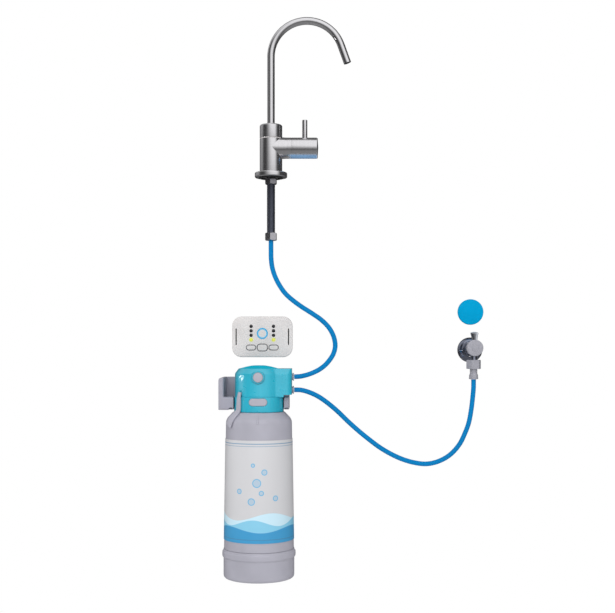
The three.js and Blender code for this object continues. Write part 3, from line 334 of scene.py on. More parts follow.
@dataclass(frozen=True)
class Moulded(Finish):
    """Moulded plastic: fine spark grain, slow tone changes and a few rubbed spots."""

    grain: float = 0.012
    grain_size: float = 0.5
    tone: float = 0.05
    coat: float = 0.0
    haze: float = 0.05
    gloss: float = 0.5
    glow: float = 0.0
    cloud_size: float = 38.0
    rub_size: Triple = (9.0, 9.0, 4.0)
    unevenness: float = 0.03

    def paint(self, graph: Graph) -> None:
        """Colour, roughness and relief all follow noise of three sizes.

        Args:
            graph: the material's nodes.
        """
        spark = graph.noise(self.grain_size, 3.0)
        cloud = graph.noise(self.cloud_size, 2.0, 3.1)
        rub = graph.noise(self.rub_size, 4.0, 7.7).step(0.58, 0.72)
        base = linear(self.colour)
        tint = graph.mix(cloud.step(0.3, 0.7), shaded(base, 1 - self.tone), shaded(base, 1 + self.tone))
        rough = spark.span(self.roughness - self.unevenness, self.roughness + self.unevenness)
        graph.finish(
            Base_Color=tint,
            Roughness=rough - rub * 0.05,
            Coat_Weight=self.coat,
            Coat_Roughness=self.haze,
            Specular_IOR_Level=self.gloss,
            Emission_Color=base,
            Emission_Strength=self.glow,
            Normal=graph.bump(spark, self.grain),
        )


@dataclass(frozen=True)
class Brushed(Finish):
    """Metal brushed or turned with streaks of given lengths in each axis; on the barrel, with a painted blue
    reflection.
    """

    streak: Triple = (0.25, 0.25, 22.0)
    depth: float = 0.006
    metallic: float = 1.0
    # A painted blue reflection along the barrel's underside: its colour, the heights where it fades and where
    # it starts along X.
    painted_reflection: bool = False
    cloud_size: float = 14.0
    unevenness: float = 0.04
    reflected_blue: Colour = (110, 170, 224)
    reflection_rise: tuple[float, float] = (317.2, 320.6)
    reflection_run: tuple[float, float] = (37.5, 44.0)

    def paint(self, graph: Graph) -> None:
        """Streaks drive relief and roughness; slow clouds stand for handling marks.

        Args:
            graph: the material's nodes.
        """
        streak = graph.noise(self.streak, 3.0)
        cloud = graph.noise(self.cloud_size, 3.0, 5.3)
        base = linear(self.colour)
        tint = graph.mix(streak.step(0.3, 0.72), shaded(base, 0.93), base)
        metallic = self.metallic
        # Painted reflection: blue along the barrel's underside, where the metal is made mostly non-metallic.
        if self.painted_reflection:
            blue_reflection_mask = self.painted_reflection_mask(graph)
            tint = graph.mix(blue_reflection_mask, tint, linear(self.reflected_blue))
            metallic = 1 - blue_reflection_mask * 0.8
        rough = streak.span(self.roughness - self.unevenness, self.roughness + self.unevenness)
        graph.finish(
            Base_Color=tint,
            Metallic=metallic,
            Roughness=rough + cloud * 0.04,
            Normal=graph.bump(streak, self.depth),
        )

    def painted_reflection_mask(self, graph: Graph) -> Value:
        """Painted reflection: 1 on a soft blue band along the underside of the barrel."""
        along, _, height = graph.parts(graph.place())
        return (1 - height.step(*self.reflection_rise)) * along.step(*self.reflection_run) * 0.85


@dataclass(frozen=True)
class Rubber(Finish):
    """Matt rubber or pressed carbon with a coarse grain."""

    grain_size: float = 0.9

    def paint(self, graph: Graph) -> None:
        """One noise gives tone and relief.

        Args:
            graph: the material's nodes.
        """
        grain = graph.noise(self.grain_size, 4.0)
        base = linear(self.colour)
        graph.finish(
            Base_Color=graph.mix(grain, base, shaded(base, 1.5)),
            Roughness=grain.span(self.roughness - 0.08, self.roughness + 0.05),
            Normal=graph.bump(grain, 0.08),
        )


@dataclass(frozen=True)
class PrintedSleeve(Finish):
    """The bottle's film sleeve, with plain waves, bubbles and rules printed on it."""

    radius: float = 45.5
    foot: float = -190.5
    waves: tuple[tuple[float, float, float, float, Colour], ...] = (
        (34.0, 5.0, 0.066, 0.4, (196, 226, 240)),
        (26.0, 4.2, 0.088, 2.1, (132, 198, 226)),
        (17.0, 3.4, 0.066, 4.4, (58, 150, 200)),
    )
    bubbles: tuple[Triple, ...] = (
        (-8.0, 54.0, 4.2), (5.0, 65.0, 2.8), (-1.0, 78.0, 5.2), (9.0, 92.0, 3.4), (-6.0, 101.0, 2.2),
        (24.0, 58.0, 3.2), (-25.0, 67.0, 3.0),
    )
    rules: tuple[tuple[float, float], ...] = ((128.6, 0.5), (125.4, 0.25), (4.6, 0.5))
    bubble_ink: Colour = (92, 172, 214)
    rule_ink: Colour = (70, 130, 170)

    def paint(self, graph: Graph) -> None:
        """Prints on the arc length round the bottle and the height above its foot.

        Args:
            graph: the material's nodes.
        """
        x, y, z = graph.parts(graph.place())
        turn = graph.node("ShaderNodeMath", {"operation": "ARCTAN2"}, x, -AXIS_OUT - y)
        along = turn * self.radius
        height = z - self.foot
        tint = linear(self.colour)
        for level, swell, pitch, shift, shade in self.waves:
            crest = (along * pitch + shift).sine() * swell + level
            tint = graph.mix((crest - height).step(-0.3, 0.3), tint, linear(shade))
        for at, up, radius in self.bubbles:
            reach = ((along - at) * (along - at) + (height - up) * (height - up)).root()
            rim = 1 - (reach - radius).size().step(0.35, 0.75)
            fill = (1 - reach.step(radius - 0.3, radius + 0.3)) * 0.35
            tint = graph.mix(rim.most(fill), tint, linear(self.bubble_ink))
        for up, half in self.rules:
            rule = 1 - (height - up).size().step(half - 0.1, half + 0.2)
            tint = graph.mix(rule * 0.8, tint, linear(self.rule_ink))
        wrinkle = graph.noise((30.0, 30.0, 9.0), 2.0, 2.2)
        graph.finish(
            Base_Color=tint,
            Roughness=wrinkle.span(self.roughness - 0.05, self.roughness + 0.08),
            Coat_Weight=0.25,
            Coat_Roughness=0.2,
            Normal=graph.bump(wrinkle, 0.05),
        )


TURQUOISE = Moulded(
    "turquoise_moulding", "turquoise_plastic", (27, 170, 195), 0.3, 0.003, coat=0.6, haze=0.0, gloss=1.0
)
TURQUOISE_SATIN = Moulded("turquoise_satin", "turquoise_plastic", (27, 170, 195), 0.45, 0.003, gloss=0.0)
GREY = Moulded("grey_moulding", "grey_plastic", (166, 165, 176), 0.44, 0.006)
GREY_BRACKET = Moulded("grey_bracket", "grey_plastic", (158, 157, 169), 0.46, 0.008)
PALE = Moulded("pale_moulding", "pale_plastic", (211, 207, 206), 0.48, 0.005)
PALE_INSIDE = Moulded("pale_inside", "pale_plastic", (196, 194, 192), 0.5, 0.012)
DARK = Moulded("dark_moulding", "dark_plastic", (40, 42, 47), 0.4, 0.01)
KEY_RIM = Moulded("key_outline", "pale_plastic", (96, 96, 100), 0.45, 0.004)
TUBE = Moulded("clear_blue_tube", "tube_blue", (0, 119, 181), 0.34, 0.0015, 3.0, 0.04, gloss=0.12)
MARKER = Moulded("marker_moulding", "marker_blue", (0, 150, 199), 0.4, 0.002, coat=0.05, gloss=0.03)
BOARD = Moulded("board_lacquer", "board", (26, 34, 32), 0.5, 0.01)
DARK_LENS = Moulded("dark_lens", "lens", (30, 30, 34), 0.25, 0.002, coat=0.4)
LIT_LENS = Moulded("lit_lens", "lens", (212, 214, 84), 0.3, 0.002, glow=0.15)
# Pale ring round each lit lamp: painted glow on the panel.
PAINTED_LED_GLOW = Moulded("painted_led_glow", "lens", (222, 222, 168), 0.4, 0.002)
RING_LIGHT = Moulded("ring_lamp", "ring_light", (60, 168, 216), 0.3, 0.002, glow=0.05)
# Pale ring inside the ring lamp: painted glow on the panel.
PAINTED_RING_GLOW = Moulded("painted_ring_glow", "ring_light", (170, 212, 232), 0.35, 0.002)
STEEL = Brushed("turned_steel", "steel", (230, 229, 232), 0.2, (50.0, 50.0, 0.9), 0.0005)
STEEL_SPOUT = Brushed("drawn_steel", "steel", (230, 229, 232), 0.18, (4.0, 4.0, 60.0), 0.0001)
# Barrel steel with a painted blue reflection along its underside.
STEEL_BARREL = Brushed("barrel_steel", "steel", (230, 229, 232), 0.2, (0.9, 50.0, 50.0), 0.0005, painted_reflection=True)
DARK_STEEL = Brushed("dark_plating", "dark_steel", (112, 116, 130), 0.34, (30.0, 30.0, 0.9), 0.002)
CHROME = Brushed("dark_chrome", "dark_steel", (150, 155, 172), 0.12, (12.0, 12.0, 12.0), 0.0001)
CHROME_LIGHT = Brushed("light_chrome", "zinc", (212, 216, 224), 0.12, (9.0, 9.0, 9.0), 0.0001)
NUT_STEEL = Brushed("nut_plating", "zinc", (214, 213, 220), 0.24, (6.0, 6.0, 1.2), 0.0008)
# The nut plating made darker for the deck nut: painted shade under the flange.
NUT_SHADE = Brushed("shaded_nut_plating", "zinc", (158, 157, 163), 0.26, (6.0, 6.0, 1.2), 0.0008)
ZINC = Brushed("satin_plating", "zinc", (168, 168, 177), 0.44, (8.0, 8.0, 1.5), 0.0012, 0.3)
BRASS = Brushed("turned_brass", "brass", (188, 158, 92), 0.32, (0.4, 20.0, 20.0), 0.005)
RUBBER = Rubber("moulded_rubber", "rubber", (34, 34, 36), 0.72)
CARBON = Rubber("pressed_carbon", "carbon", (28, 28, 29), 0.92, 1.6)
FLEECE = Rubber("spun_fleece", "fleece", (212, 212, 206), 0.95, 0.7)
SLEEVE = PrintedSleeve("printed_sleeve", "label_film", (201, 201, 204), 0.4)

CARRIED_OVER = {
    ZINC: ("wall_screw_left", "wall_screw_right", "head_screw"),
    TUBE: ("upper_tube_end", "lower_tube_end", "faucet_tube_end", "valve_tube_end"),
    STEEL: ("lever_pin",),
    GREY: ("cartridge_spigot",),
    RUBBER: ("upper_neck_seal", "lower_neck_seal"),
    PALE_INSIDE: ("block_top_cap", "block_bottom_cap"),
    CARBON: ("carbon_block",),
    FLEECE: ("sediment_wrap",),
    BRASS: ("ceramic_cartridge", "valve_stem"),
    DARK: ("aerator",),
    BOARD: ("circuit_board",),
    PALE: ("panel_back",),
}


# Surfaces
@dataclass
class Shell:
    """One or more closed surfaces: points in millimetres, and faces."""

    points: Array
    faces: list[list[int]]

    def __add__(self, other: "Shell") -> "Shell":
        """Both surfaces as one.

        Args:
            other: the surface to join on.

        Returns:
            The joined surface.
        """
        shift = len(self.points)
        moved = [[i + shift for i in face] for face in other.faces]
        return Shell(np.vstack([self.points, other.points]), self.faces + moved)

    def laid(self, axis: Axis) -> "Shell":
        """Turned from Z to an axis."""
        return Shell(axis.lay(self.points), self.faces)

    def moved(self, x: float, y: float, z: float) -> "Shell":
        """Shifted by millimetres."""
        return Shell(self.points + np.array([x, y, z]), self.faces)

    def spun(self, angle: float) -> "Shell":
        """Turned about Z by radians."""
        turn = np.array(Matrix.Rotation(angle, 3, "Z"))
        return Shell(self.points @ turn.T, self.faces)


def arc(x: float, y: float, radius: float, start: float, stop: float, steps: int) -> Array:
    """Points of an arc: centre plus radius times cosine and sine.

    Args:
        x: the centre's X.
        y: the centre's Y.
        radius: the arc's radius.
        start: the first angle in radians.
        stop: the last angle in radians.
        steps: the number of points.

    Returns:
        The points, one row each.
    """
    turn = np.linspace(start, stop, steps)
    return np.stack([x + radius * np.cos(turn), y + radius * np.sin(turn)], axis=-1)


def polar(radius: Array | float, angle: Array, height: Array | float) -> Array:
    """Points at radius times cosine and sine of the angle, and at a height, on one grid."""
    return np.stack([radius * np.cos(angle), radius * np.sin(angle), height + 0 * angle], axis=-1)


def squared(wave: Array, power: float) -> Array:
    """A sine or cosine to a power, its sign kept: under 1 it fills the corners of an oval."""
    return np.sign(wave) * np.abs(wave) ** power


def rounded(corners: Sequence[Sequence[float]], radius: float | Sequence[float]) -> Array:
    """An open line whose corners are blended by parabolas tangent to both sides.

    Args:
        corners: the line's corners.
        radius: how far each blend starts from its corner, one number or one for each.

    Returns:
        The blended line's points.
    """
    points = np.asarray(corners, float)
    reach = np.broadcast_to(np.asarray(radius, float), len(points)).copy()
    reach[[0, -1]] = 0
    before = np.vstack([points[:1], points[:-1]]) - points
    after = np.vstack([points[1:], points[-1:]]) - points
    long_before = np.maximum(np.linalg.norm(before, axis=1), 1e-9)
    long_after = np.maximum(np.linalg.norm(after, axis=1), 1e-9)
    reach = np.minimum(reach, 0.48 * np.minimum(long_before, long_after))
    start = points + before * (reach / long_before)[:, None]
    stop = points + after * (reach / long_after)[:, None]
    share = np.linspace(0, 1, 6)[None, :, None]
    bend = (1 - share) ** 2 * start[:, None]
    bend = bend + 2 * share * (1 - share) * points[:, None] + share**2 * stop[:, None]
    line = bend.reshape(-1, points.shape[1])
    step = np.linalg.norm(np.diff(line, axis=0), axis=1)
    return line[np.concatenate([[True], step > 1e-6])]


def skin(rings: Array, loop: bool = False) -> Shell:
    """A closed surface over a grid of rings: levels by points round by three.

    Args:
        rings: the grid, whose end rings may shrink to a point.
        loop: whether the last ring joins the first.

    Returns:
        The surface, with flat ends where it doesn't loop.
    """
    levels, count = rings.shape[:2]
    row = np.arange(levels if loop else levels - 1)[:, None]
    column = np.arange(count)[None, :]
    above, beside = (row + 1) % levels, (column + 1) % count
    quads = np.stack(
        [row * count + column, row * count + beside, above * count + beside, above * count + column],
        axis=-1,
    )
    faces = quads.reshape(-1, 4).tolist()
    if not loop:
        if np.ptp(rings[0], axis=0).max() > 1e-6:
            faces.append(list(range(count))[::-1])
        if np.ptp(rings[-1], axis=0).max() > 1e-6:
            faces.append(list(range((levels - 1) * count, levels * count)))
    return Shell(rings.reshape(-1, 3), faces)


def turned(
    corners: Sequence[Sequence[float]],
    radius: float | Sequence[float] = 0.4,
    sides: int = FINE,
) -> Shell:
    """A profile of radius and height turned about Z: x and y are r times cosine and sine.

    Args:
        corners: the profile's corners, from axis to axis, or a loop that ends where it starts.
        radius: the blend at each corner.
        sides: points round.

    Returns:
        The turned surface.
    """
    loop = corners[0][0] > 0
    line = rounded(corners, radius)
    if loop:
        line = line[:-1]
    angle = np.linspace(0, TURN, sides, endpoint=False)
    return skin(polar(line[:, :1], angle, line[:, 1:]), loop)


def rod(
    radius: float,
    low: float,
    high: float,
    edge: float | Sequence[float] = 0.3,
    sides: int = MEDIUM,
) -> Shell:
    """A round bar along Z with softened ends."""
    return turned([(0, low), (radius, low), (radius, high), (0, high)], edge, sides)


def sleeve(
    bore: float,
    radius: float,
    low: float,
    high: float,
    edge: float | Sequence[float] = 0.3,
    sides: int = MEDIUM,
) -> Shell:
    """A tube along Z with softened ends."""
    return turned([(bore, low), (radius, low), (radius, high), (bore, high), (bore, low)], edge, sides)


def lofted(outlines: Sequence[Array], heights: Sequence[float], loop: bool = False) -> Shell:
    """A solid over flat outlines of equal count at given heights, or a frame where it loops."""
    rings = [np.column_stack([line, np.full(len(line), h)]) for line, h in zip(outlines, heights)]
    return skin(np.stack(rings), loop)


def stadium(width: float, height: float, corner: float, inset: float = 0.0, steps: int = 12) -> Array:
    """A rectangle with round corners, drawn inwards by an inset.

    Args:
        width: the full width.
        height: the full height.
        corner: the corners' radius before the inset.
        inset: how far the outline is drawn in.
        steps: points in each corner.

    Returns:
        The outline's points, anticlockwise.
    """
    x, y = width / 2 - corner, height / 2 - corner
    centres = ((x, y), (-x, y), (-x, -y), (x, -y))
    quarter = TURN / 4
    return np.vstack([
        arc(*centre, corner - inset, i * quarter, (i + 1) * quarter, steps)
        for i, centre in enumerate(centres)
    ])


def bar(width: float, height: float, corner: float, low: float, high: float) -> Shell:
    """A straight bar along Z, whose section is a rectangle with round corners."""
    return lofted([stadium(width, height, corner)] * 2, (low, high))


def cushion(
    width: float, height: float, corner: float, low: float, high: float, edge: float
) -> Shell:
    """A flat pad with round corners, lofted along Z, whose front edge is a quarter round.

    Args:
        width: the full width.
        height: the full height.
        corner: the corners' radius.
        low: the back face.
        high: the front face.
        edge: the front edge's radius.

    Returns:
        The pad.
    """
    turn = np.linspace(0, TURN / 4, 6)
    insets = np.concatenate([[0.0], edge * (1 - np.cos(turn))])
    heights = np.concatenate([[low], high - edge + edge * np.sin(turn)])
    return lofted([stadium(width, height, corner, inset) for inset in insets], heights)


def hexagon_nut(corner: float, low: float, high: float, bore: float, chamfer: float = 0.8) -> Shell:
    """A hexagonal nut: the radius is the lesser of a hexagon's and a chamfer cone's.

    Args:
        corner: radius over the corners.
        low: the lower face.
        high: the upper face.
        bore: the hole's radius.
        chamfer: how far the cone cuts down each corner.

    Returns:
        The nut about Z.
    """
    per_half_side = 9
    angle = np.linspace(0, TURN, 12 * per_half_side, endpoint=False)
    flat = corner * math.cos(math.pi / 6)
    hexagon = flat / np.cos(np.mod(angle, TURN / 6) - math.pi / 6)
    rim = 0.15
    drop = (hexagon - flat) / (corner - flat) * chamfer + rim
    face = flat * 0.985
    radii = (bore, face, hexagon, hexagon, face, bore)
    levels = (low, low, low + drop, high - drop, high, high)
    return skin(np.stack([polar(radius, angle, level) for radius, level in zip(radii, levels)]), True)


def smooth_line(points: Sequence[Sequence[float]], per_span: int = 8) -> Array:
    """A centripetal Catmull-Rom line through points, by Barry and Goldman's pyramid.

    Args:
        points: the route's points.
        per_span: points made between each pair.

    Returns:
        The smooth line's points.
    """
    route = np.asarray(points, float)
    ends = (2 * route[:1] - route[1:2], 2 * route[-1:] - route[-2:-1])
    padded = np.vstack([ends[0], route, ends[1]])
    knots = np.concatenate([[0], np.cumsum(np.linalg.norm(np.diff(padded, axis=0), axis=1) ** 0.5)])
    p = [padded[i : len(padded) - 3 + i][:, None] for i in range(4)]
    k = [knots[i : len(knots) - 3 + i][:, None, None] for i in range(4)]
    t = k[1] + (k[2] - k[1]) * np.linspace(0, 1, per_span, endpoint=False)[None, :, None]

    def blend(a: Array, b: Array, start: Array, stop: Array) -> Array:
        """Straight blend of two points between two knots."""
        return ((stop - t) * a + (t - start) * b) / (stop - start)

    low = [blend(p[i], p[i + 1], k[i], k[i + 1]) for i in range(3)]
    middle = [blend(low[i], low[i + 1], k[i], k[i + 2]) for i in range(2)]
    line = blend(middle[0], middle[1], k[1], k[2])
    return np.vstack([line.reshape(-1, 3), route[-1:]])


def piped(line: Array, radius: float, sides: int, bore: float = 0.0) -> Shell:
    """A tube round a line: each ring is radius times cosine and sine of a carried frame.

    Args:
        line: the centre line's points.
        radius: the tube's radius.
        sides: points round.
        bore: the hole's radius, or 0 for a solid bar.

    Returns:
        The tube, with flat ends.
    """
    along = np.gradient(line, axis=0)
    along = along / np.linalg.norm(along, axis=1, keepdims=True)
    side = np.cross(along, np.array([0.31, 0.9, 0.3]))
    side = side / np.linalg.norm(side, axis=1, keepdims=True)
    up = np.cross(side, along)
    angle = np.linspace(0, TURN, sides, endpoint=False)[None, :, None]
    round_ring = np.cos(angle) * side[:, None] + np.sin(angle) * up[:, None]
    outer = line[:, None] + radius * round_ring
    if bore <= 0:
        return skin(outer)
    inner = (line[:, None] + bore * round_ring)[::-1]
    return skin(np.concatenate([outer, inner]), True)


# Pieces
def mesh_of(name: str, shell: Shell) -> bpy.types.Mesh:
    """A Blender mesh of a shell, in metres, with poles merged and faces outwards.

    Args:
        name: the mesh's name.
        shell: the surface in millimetres.

    Returns:
        The mesh.
    """
    mesh = bpy.data.meshes.new(name)
    mesh.from_pydata((shell.points * MM).tolist(), [], shell.faces)
    work = bmesh.new()
    work.from_mesh(mesh)
    bmesh.ops.remove_doubles(work, verts=work.verts, dist=1e-7)
    bmesh.ops.recalc_face_normals(work, faces=work.faces)
    work.to_mesh(mesh)
    work.free()
    return mesh


def linked(name: str, data: bpy.types.ID) -> bpy.types.Object:
    """A new object of a mesh, lamp or camera, linked to the scene.

    Args:
        name: the object's name.
        data: the mesh, lamp or camera.

    Returns:
        The object.
    """
    item = bpy.data.objects.new(name, data)
    bpy.context.scene.collection.objects.link(item)
    return item


def placed(name: str, shell: Shell) -> bpy.types.Object:
    """A bare object of a shell."""
    return linked(name, mesh_of(name, shell))


def shifted(piece: bpy.types.Object, metres: Sequence[float]) -> None:
    """Moves a piece's mesh, so that its object stays at the origin."""
    piece.data.transform(Matrix.Translation(metres))


def carved(piece: bpy.types.Object, tool: Shell, cut: Cut) -> None:
    """Joins a shell to a piece, takes it away or keeps what both share.

    Args:
        piece: the object to change.
        tool: the other solid.
        cut: how they meet.
    """
    other = placed("tool", tool)
    modifier = piece.modifiers.new("meet", "BOOLEAN")
    modifier.operation, modifier.solver, modifier.object = cut.value, "EXACT", other
    seen = bpy.context.evaluated_depsgraph_get()
    mesh = bpy.data.meshes.new_from_object(piece.evaluated_get(seen))
    piece.modifiers.clear()
    piece.data = mesh
    bpy.data.objects.remove(other)


def dressed(
    piece: bpy.types.Object,
    body: Body,
    finish: Finish,
    replaces: Sequence[str] = (),
    sharp: float = 32.0,
    bevel: float = 0.0,
) -> bpy.types.Object:
    """Finishes a piece and hangs it on its body.

    Args:
        piece: the object.
        body: the CAD body that it rides on.
        finish: its finish.
        replaces: the CAD nodes that it stands for.
        sharp: edges over this angle in degrees stay sharp.
        bevel: the width in millimetres of a bevel on sharp edges, or 0.

    Returns:
        The piece.
    """
    mesh = piece.data
    mesh.materials.clear()
    mesh.materials.append(finish.material())
    mesh.shade_smooth()
    if bevel > 0:
        soft = piece.modifiers.new("edges", "BEVEL")
        soft.width, soft.segments, soft.limit_method = bevel * MM, 3, "ANGLE"
        soft.angle_limit = math.radians(sharp)
        soft.harden_normals = True
    else:
        mesh.set_sharp_from_angle(angle=math.radians(sharp))
    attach(piece, body.value)
    if replaces:
        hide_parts(*replaces)
    log.info("%s: %d faces on %s", piece.name, len(mesh.polygons), body.value)
    return piece


def made(
    name: str,
    shell: Shell,
    body: Body,
    finish: Finish,
    replaces: Sequence[str] = (),
    sharp: float = 32.0,
) -> bpy.types.Object:
    """A dressed piece straight from a shell."""
    return dressed(placed(name, shell), body, finish, replaces, sharp)


@dataclass
class Studio:
    """Camera, lamps, floor and world."""

    distance: float = 1467.0
    across: float = 820.0
    sensor: float = 36.0
    eye: Triple = (64.0, -1527.0, 60.0)
    rise: float = 0.0707
    slide: float = 0.0008
    target: Triple = (20.0, -60.0, 60.0)
    floor_level: float = -420.0
    floor_side: float = 1600.0
    floor_near: float = -1800.0
    floor_far: float = 440.0
    fill: float = 0.6
    glint_reach: float = 1230.0
    glint_width: float = 4.0
    glint_watts: float = 0.17

    def camera(self) -> None:
        """The photograph's level camera, shifted up."""
        data = bpy.data.cameras.new("camera")
        data.sensor_width = self.sensor
        data.lens = self.sensor * self.distance / self.across
        data.shift_y, data.shift_x = self.rise, self.slide
        data.clip_end = 50
        camera = linked("camera", data)
        camera.location = Vector(self.eye) * MM
        camera.rotation_euler = (math.pi / 2, 0, 0)
        bpy.context.scene.camera = camera

    def panel(self, name: str, at: Triple, size: Sequence[float], watts: float) -> bpy.types.Object:
        """A rectangular area lamp at a place, in millimetres.

        Args:
            name: the lamp's name.
            at: its middle.
            size: its width and height.
            watts: its power.

        Returns:
            The lamp, not aimed yet.
        """
        data = bpy.data.lights.new(name, "AREA")
        data.shape, data.energy = "RECTANGLE", watts
        data.size, data.size_y = size[0] * MM, size[1] * MM
        lamp = linked(name, data)
        lamp.location = Vector(at) * MM
        return lamp

    def lamp(self, name: str, at: Triple, size: Sequence[float], watts: float) -> None:
        """A lamp aimed at the filter, which the gloss doesn't show.

        Args:
            name: the lamp's name.
            at: its middle.
            size: its width and height.
            watts: its power.
        """
        lamp = self.panel(name, at, size, watts)
        aim = Vector(self.target) * MM - lamp.location
        lamp.rotation_euler = aim.to_track_quat("-Z", "Y").to_euler()
        lamp.visible_glossy = False

    def glint(self, name: str, near: tuple[float, float], far: tuple[float, float]) -> None:
        """A thin slanted strip far to the left, seen only as a glint in the gloss.

        Args:
            name: the lamp's name.
            near: Y and Z of the strip's end on the camera's side.
            far: Y and Z of its other end.
        """
        run, climb = far[0] - near[0], far[1] - near[1]
        middle = (-self.glint_reach, (near[0] + far[0]) / 2, (near[1] + far[1]) / 2)
        strip = self.panel(name, middle, (math.hypot(run, climb), self.glint_width), self.glint_watts)
        strip.rotation_euler = Matrix(((0, 0, -1), (-1, 0, 0), (0, 1, 0))).to_euler()
        strip.rotation_euler.rotate_axis("Z", -math.atan2(climb, run))
        strip.visible_diffuse = False

    def lamps(self) -> None:
        """A high softbox and a low fill ahead, two at the sides, a weak one on top, two glints."""
        self.lamp("front_box", (-120.0, -1900.0, 1250.0), (1300.0, 1300.0), 18.6)
        self.lamp("front_fill", (60.0, -1750.0, 160.0), (900.0, 500.0), 4.2)
        self.lamp("left_strip", (-1500.0, -500.0, 300.0), (260.0, 1400.0), 3.2)
        self.lamp("right_strip", (1600.0, -500.0, 200.0), (260.0, 1400.0), 2.0)
        self.lamp("top_box", (0.0, -300.0, 1700.0), (900.0, 900.0), 1.6)
        self.glint("upper_glint", (-225.0, 2.0), (311.0, -9.3))
        self.glint("lower_glint", (-401.0, -2.3), (-56.0, -13.9))

    def world(self) -> None:
        """White to the camera; soft grey cards round the object for its gloss."""
        world = bpy.data.worlds.new("studio")
        bpy.context.scene.world = world
        graph = Graph(world)
        way = graph.node("ShaderNodeTexCoord", out="Generated")
        split = graph.node("ShaderNodeSeparateXYZ", None, way).socket.node.outputs
        x, y, z = (Value(graph, split[i]) for i in range(3))
        bearing = graph.node("ShaderNodeMath", {"operation": "ARCTAN2"}, x, 0 - y)
        path = graph.node("ShaderNodeLightPath").socket.node.outputs
        camera = Value(graph, path["Is Camera Ray"]) + Value(graph, path["Is Transmission Ray"])
        glossy = Value(graph, path["Is Glossy Ray"])
        strength = camera + (1 - camera) * (glossy * self.cards(bearing, z) + (1 - glossy) * self.fill)
        shader = graph.node("ShaderNodeBackground", None, (1.0, 1.0, 1.0, 1.0), strength)
        graph.node_output(shader, "ShaderNodeOutputWorld")

    def cards(self, bearing: Value, rise: Value) -> Value:
        """Brightness round the studio.

        A white card stands ahead and to the right, a dim one to the left and one behind, all over
        the horizon, with dark gaps between them. A white ceiling and a dim floor close the studio.

        Args:
            bearing: radians from the camera's side towards the right.
            rise: sine of the height over the horizon.

        Returns:
            The brightness from 0 to 1.
        """
        ahead = bearing.step(-0.95, 0.35) * (1 - bearing.step(0.65, 1.25))
        left = (1 - bearing.step(-1.75, -1.35)) * bearing.step(-2.7, -2.2) * 0.3
        behind = bearing.size().step(2.5, 2.95) * (1 - rise.step(0.02, 0.25)) * rise.step(-0.12, 0.02) * 0.35
        walls = ahead.most(left).most(behind) * rise.step(-0.5, 0.85) * 1.9
        ceiling = rise.step(0.5, 0.85) * (1 - bearing.size().step(1.0, 2.1) * 0.9) * 0.9
        ground = (0 - rise).step(0.25, 0.7) * 0.2
        light = walls.most(ceiling).most(ground)
        return 1 - (1 - light).most(0.0) * 0.95

    def floor(self) -> None:
        side, near, far, level = self.floor_side, self.floor_near, self.floor_far, self.floor_level
        corners = [(-side, near, level), (side, near, level), (side, far, level), (-side, far, level)]
        mesh = bpy.data.meshes.new("floor")
        mesh.from_pydata((np.array(corners) * MM).tolist(), [], [[0, 1, 2, 3]])
        floor = linked("floor", mesh)
        floor.visible_glossy = False
        material = bpy.data.materials.new("floor_paper")
        graph = Graph(material)
        path = graph.node("ShaderNodeLightPath").socket.node.outputs
        seen = Value(graph, path["Is Camera Ray"]) + Value(graph, path["Is Transmission Ray"])
        paper = graph.node("ShaderNodeBsdfDiffuse", None, (0.9, 0.9, 0.9, 1.0))
        lift = graph.node("ShaderNodeEmission", None, (1.0, 1.0, 1.0, 1.0), seen * 0.3)
        graph.node_output(graph.node("ShaderNodeAddShader", None, paper, lift), "ShaderNodeOutputMaterial")
        mesh.materials.append(material)

    def build(self) -> None:
        """Everything that isn't the object."""
        self.camera()
        self.world()
        self.lamps()
        self.floor()


@dataclass
class Tubes:
    """The two free quarter-inch tubes, on the routes of their CAD solids."""

    diameter: float = 6.35
    faucet_route: tuple[Triple, ...] = (
        (46.9, -60, 24.3), (56, -60, 25), (67, -60, 27.8), (78, -60, 32.6), (87, -60, 38.8),
        (94, -60, 46.5), (99.2, -60, 55), (101.6, -60, 65), (99.8, -60, 77), (93.8, -60, 89),
        (83.5, -60, 99.8), (71, -60, 108.6), (57.5, -60, 117.2), (45, -60, 126.3), (35, -60, 135.5),
        (27.2, -60, 146.5), (21.6, -60, 157.5), (18, -60, 168.5), (16.3, -60, 180), (16, -60, 193),
        (16, -60, 205.7),
    )
    supply_route: tuple[Triple, ...] = (
        (46.9, -60, 6.9), (56, -60, 6.6), (67, -60, 3.6), (79, -60, -2), (92, -60, -11),
        (105, -60, -22), (118, -60, -34.6), (132, -59.5, -47.2), (147, -59, -59.5),
        (162, -58, -70.6), (177, -57, -79.4), (192, -55.5, -86.2), (207.5, -53.5, -90.8),
        (223.7, -51, -92.8), (240, -48.5, -89.8), (256, -46.5, -81.3), (269, -45, -67.5),
        (277, -43.7, -52), (282.2, -42.8, -38), (285.8, -42.2, -19), (287.8, -42, -2),
        (288.7, -42, 9), (288.8, -42, 20.2),
    )

    def tube(self, name: str, node: str, route: Sequence[Triple]) -> None:
        """One free tube along its route, from the filter's port to its fitting.

        Args:
            name: the piece's name.
            node: the CAD node that it stands for.
            route: the middle line's points.
        """
        line = smooth_line(route)
        piece = made(name, piped(line, self.diameter / 2, SMALL), Body.FIXED, TUBE, [node])
        line[0] * MM
        line * MM

    def build(self) -> None:
        """Both tubes."""
        self.tube("faucet_hose", "faucet_tube", self.faucet_route)
        self.tube("supply_hose", "supply_tube", self.supply_route)


@dataclass
class Collet:
    """Push-fit collet: a thin sleeve in a port and a flange that stands off its mouth."""

    bore: float = 3.475
    radius: float = 4.575
    flange: float = 5.35
    thickness: float = 1.2

    def shell(self, depth: float, stand: float) -> Shell:
        """The collet, turned along Z from the port's mouth.

        Args:
            depth: how far the sleeve reaches in.
            stand: how far the flange stands off.

        Returns:
            The collet.
        """
        bore, high = self.bore, stand + self.thickness
        line = [(bore, -depth), (self.radius, -depth), (self.radius, stand), (self.flange, stand),
                (self.flange, high), (bore, high), (bore, -depth)]
        return turned(line, [0, 0.2, 0, 0.25, 0.35, 0.2, 0], SMALL)


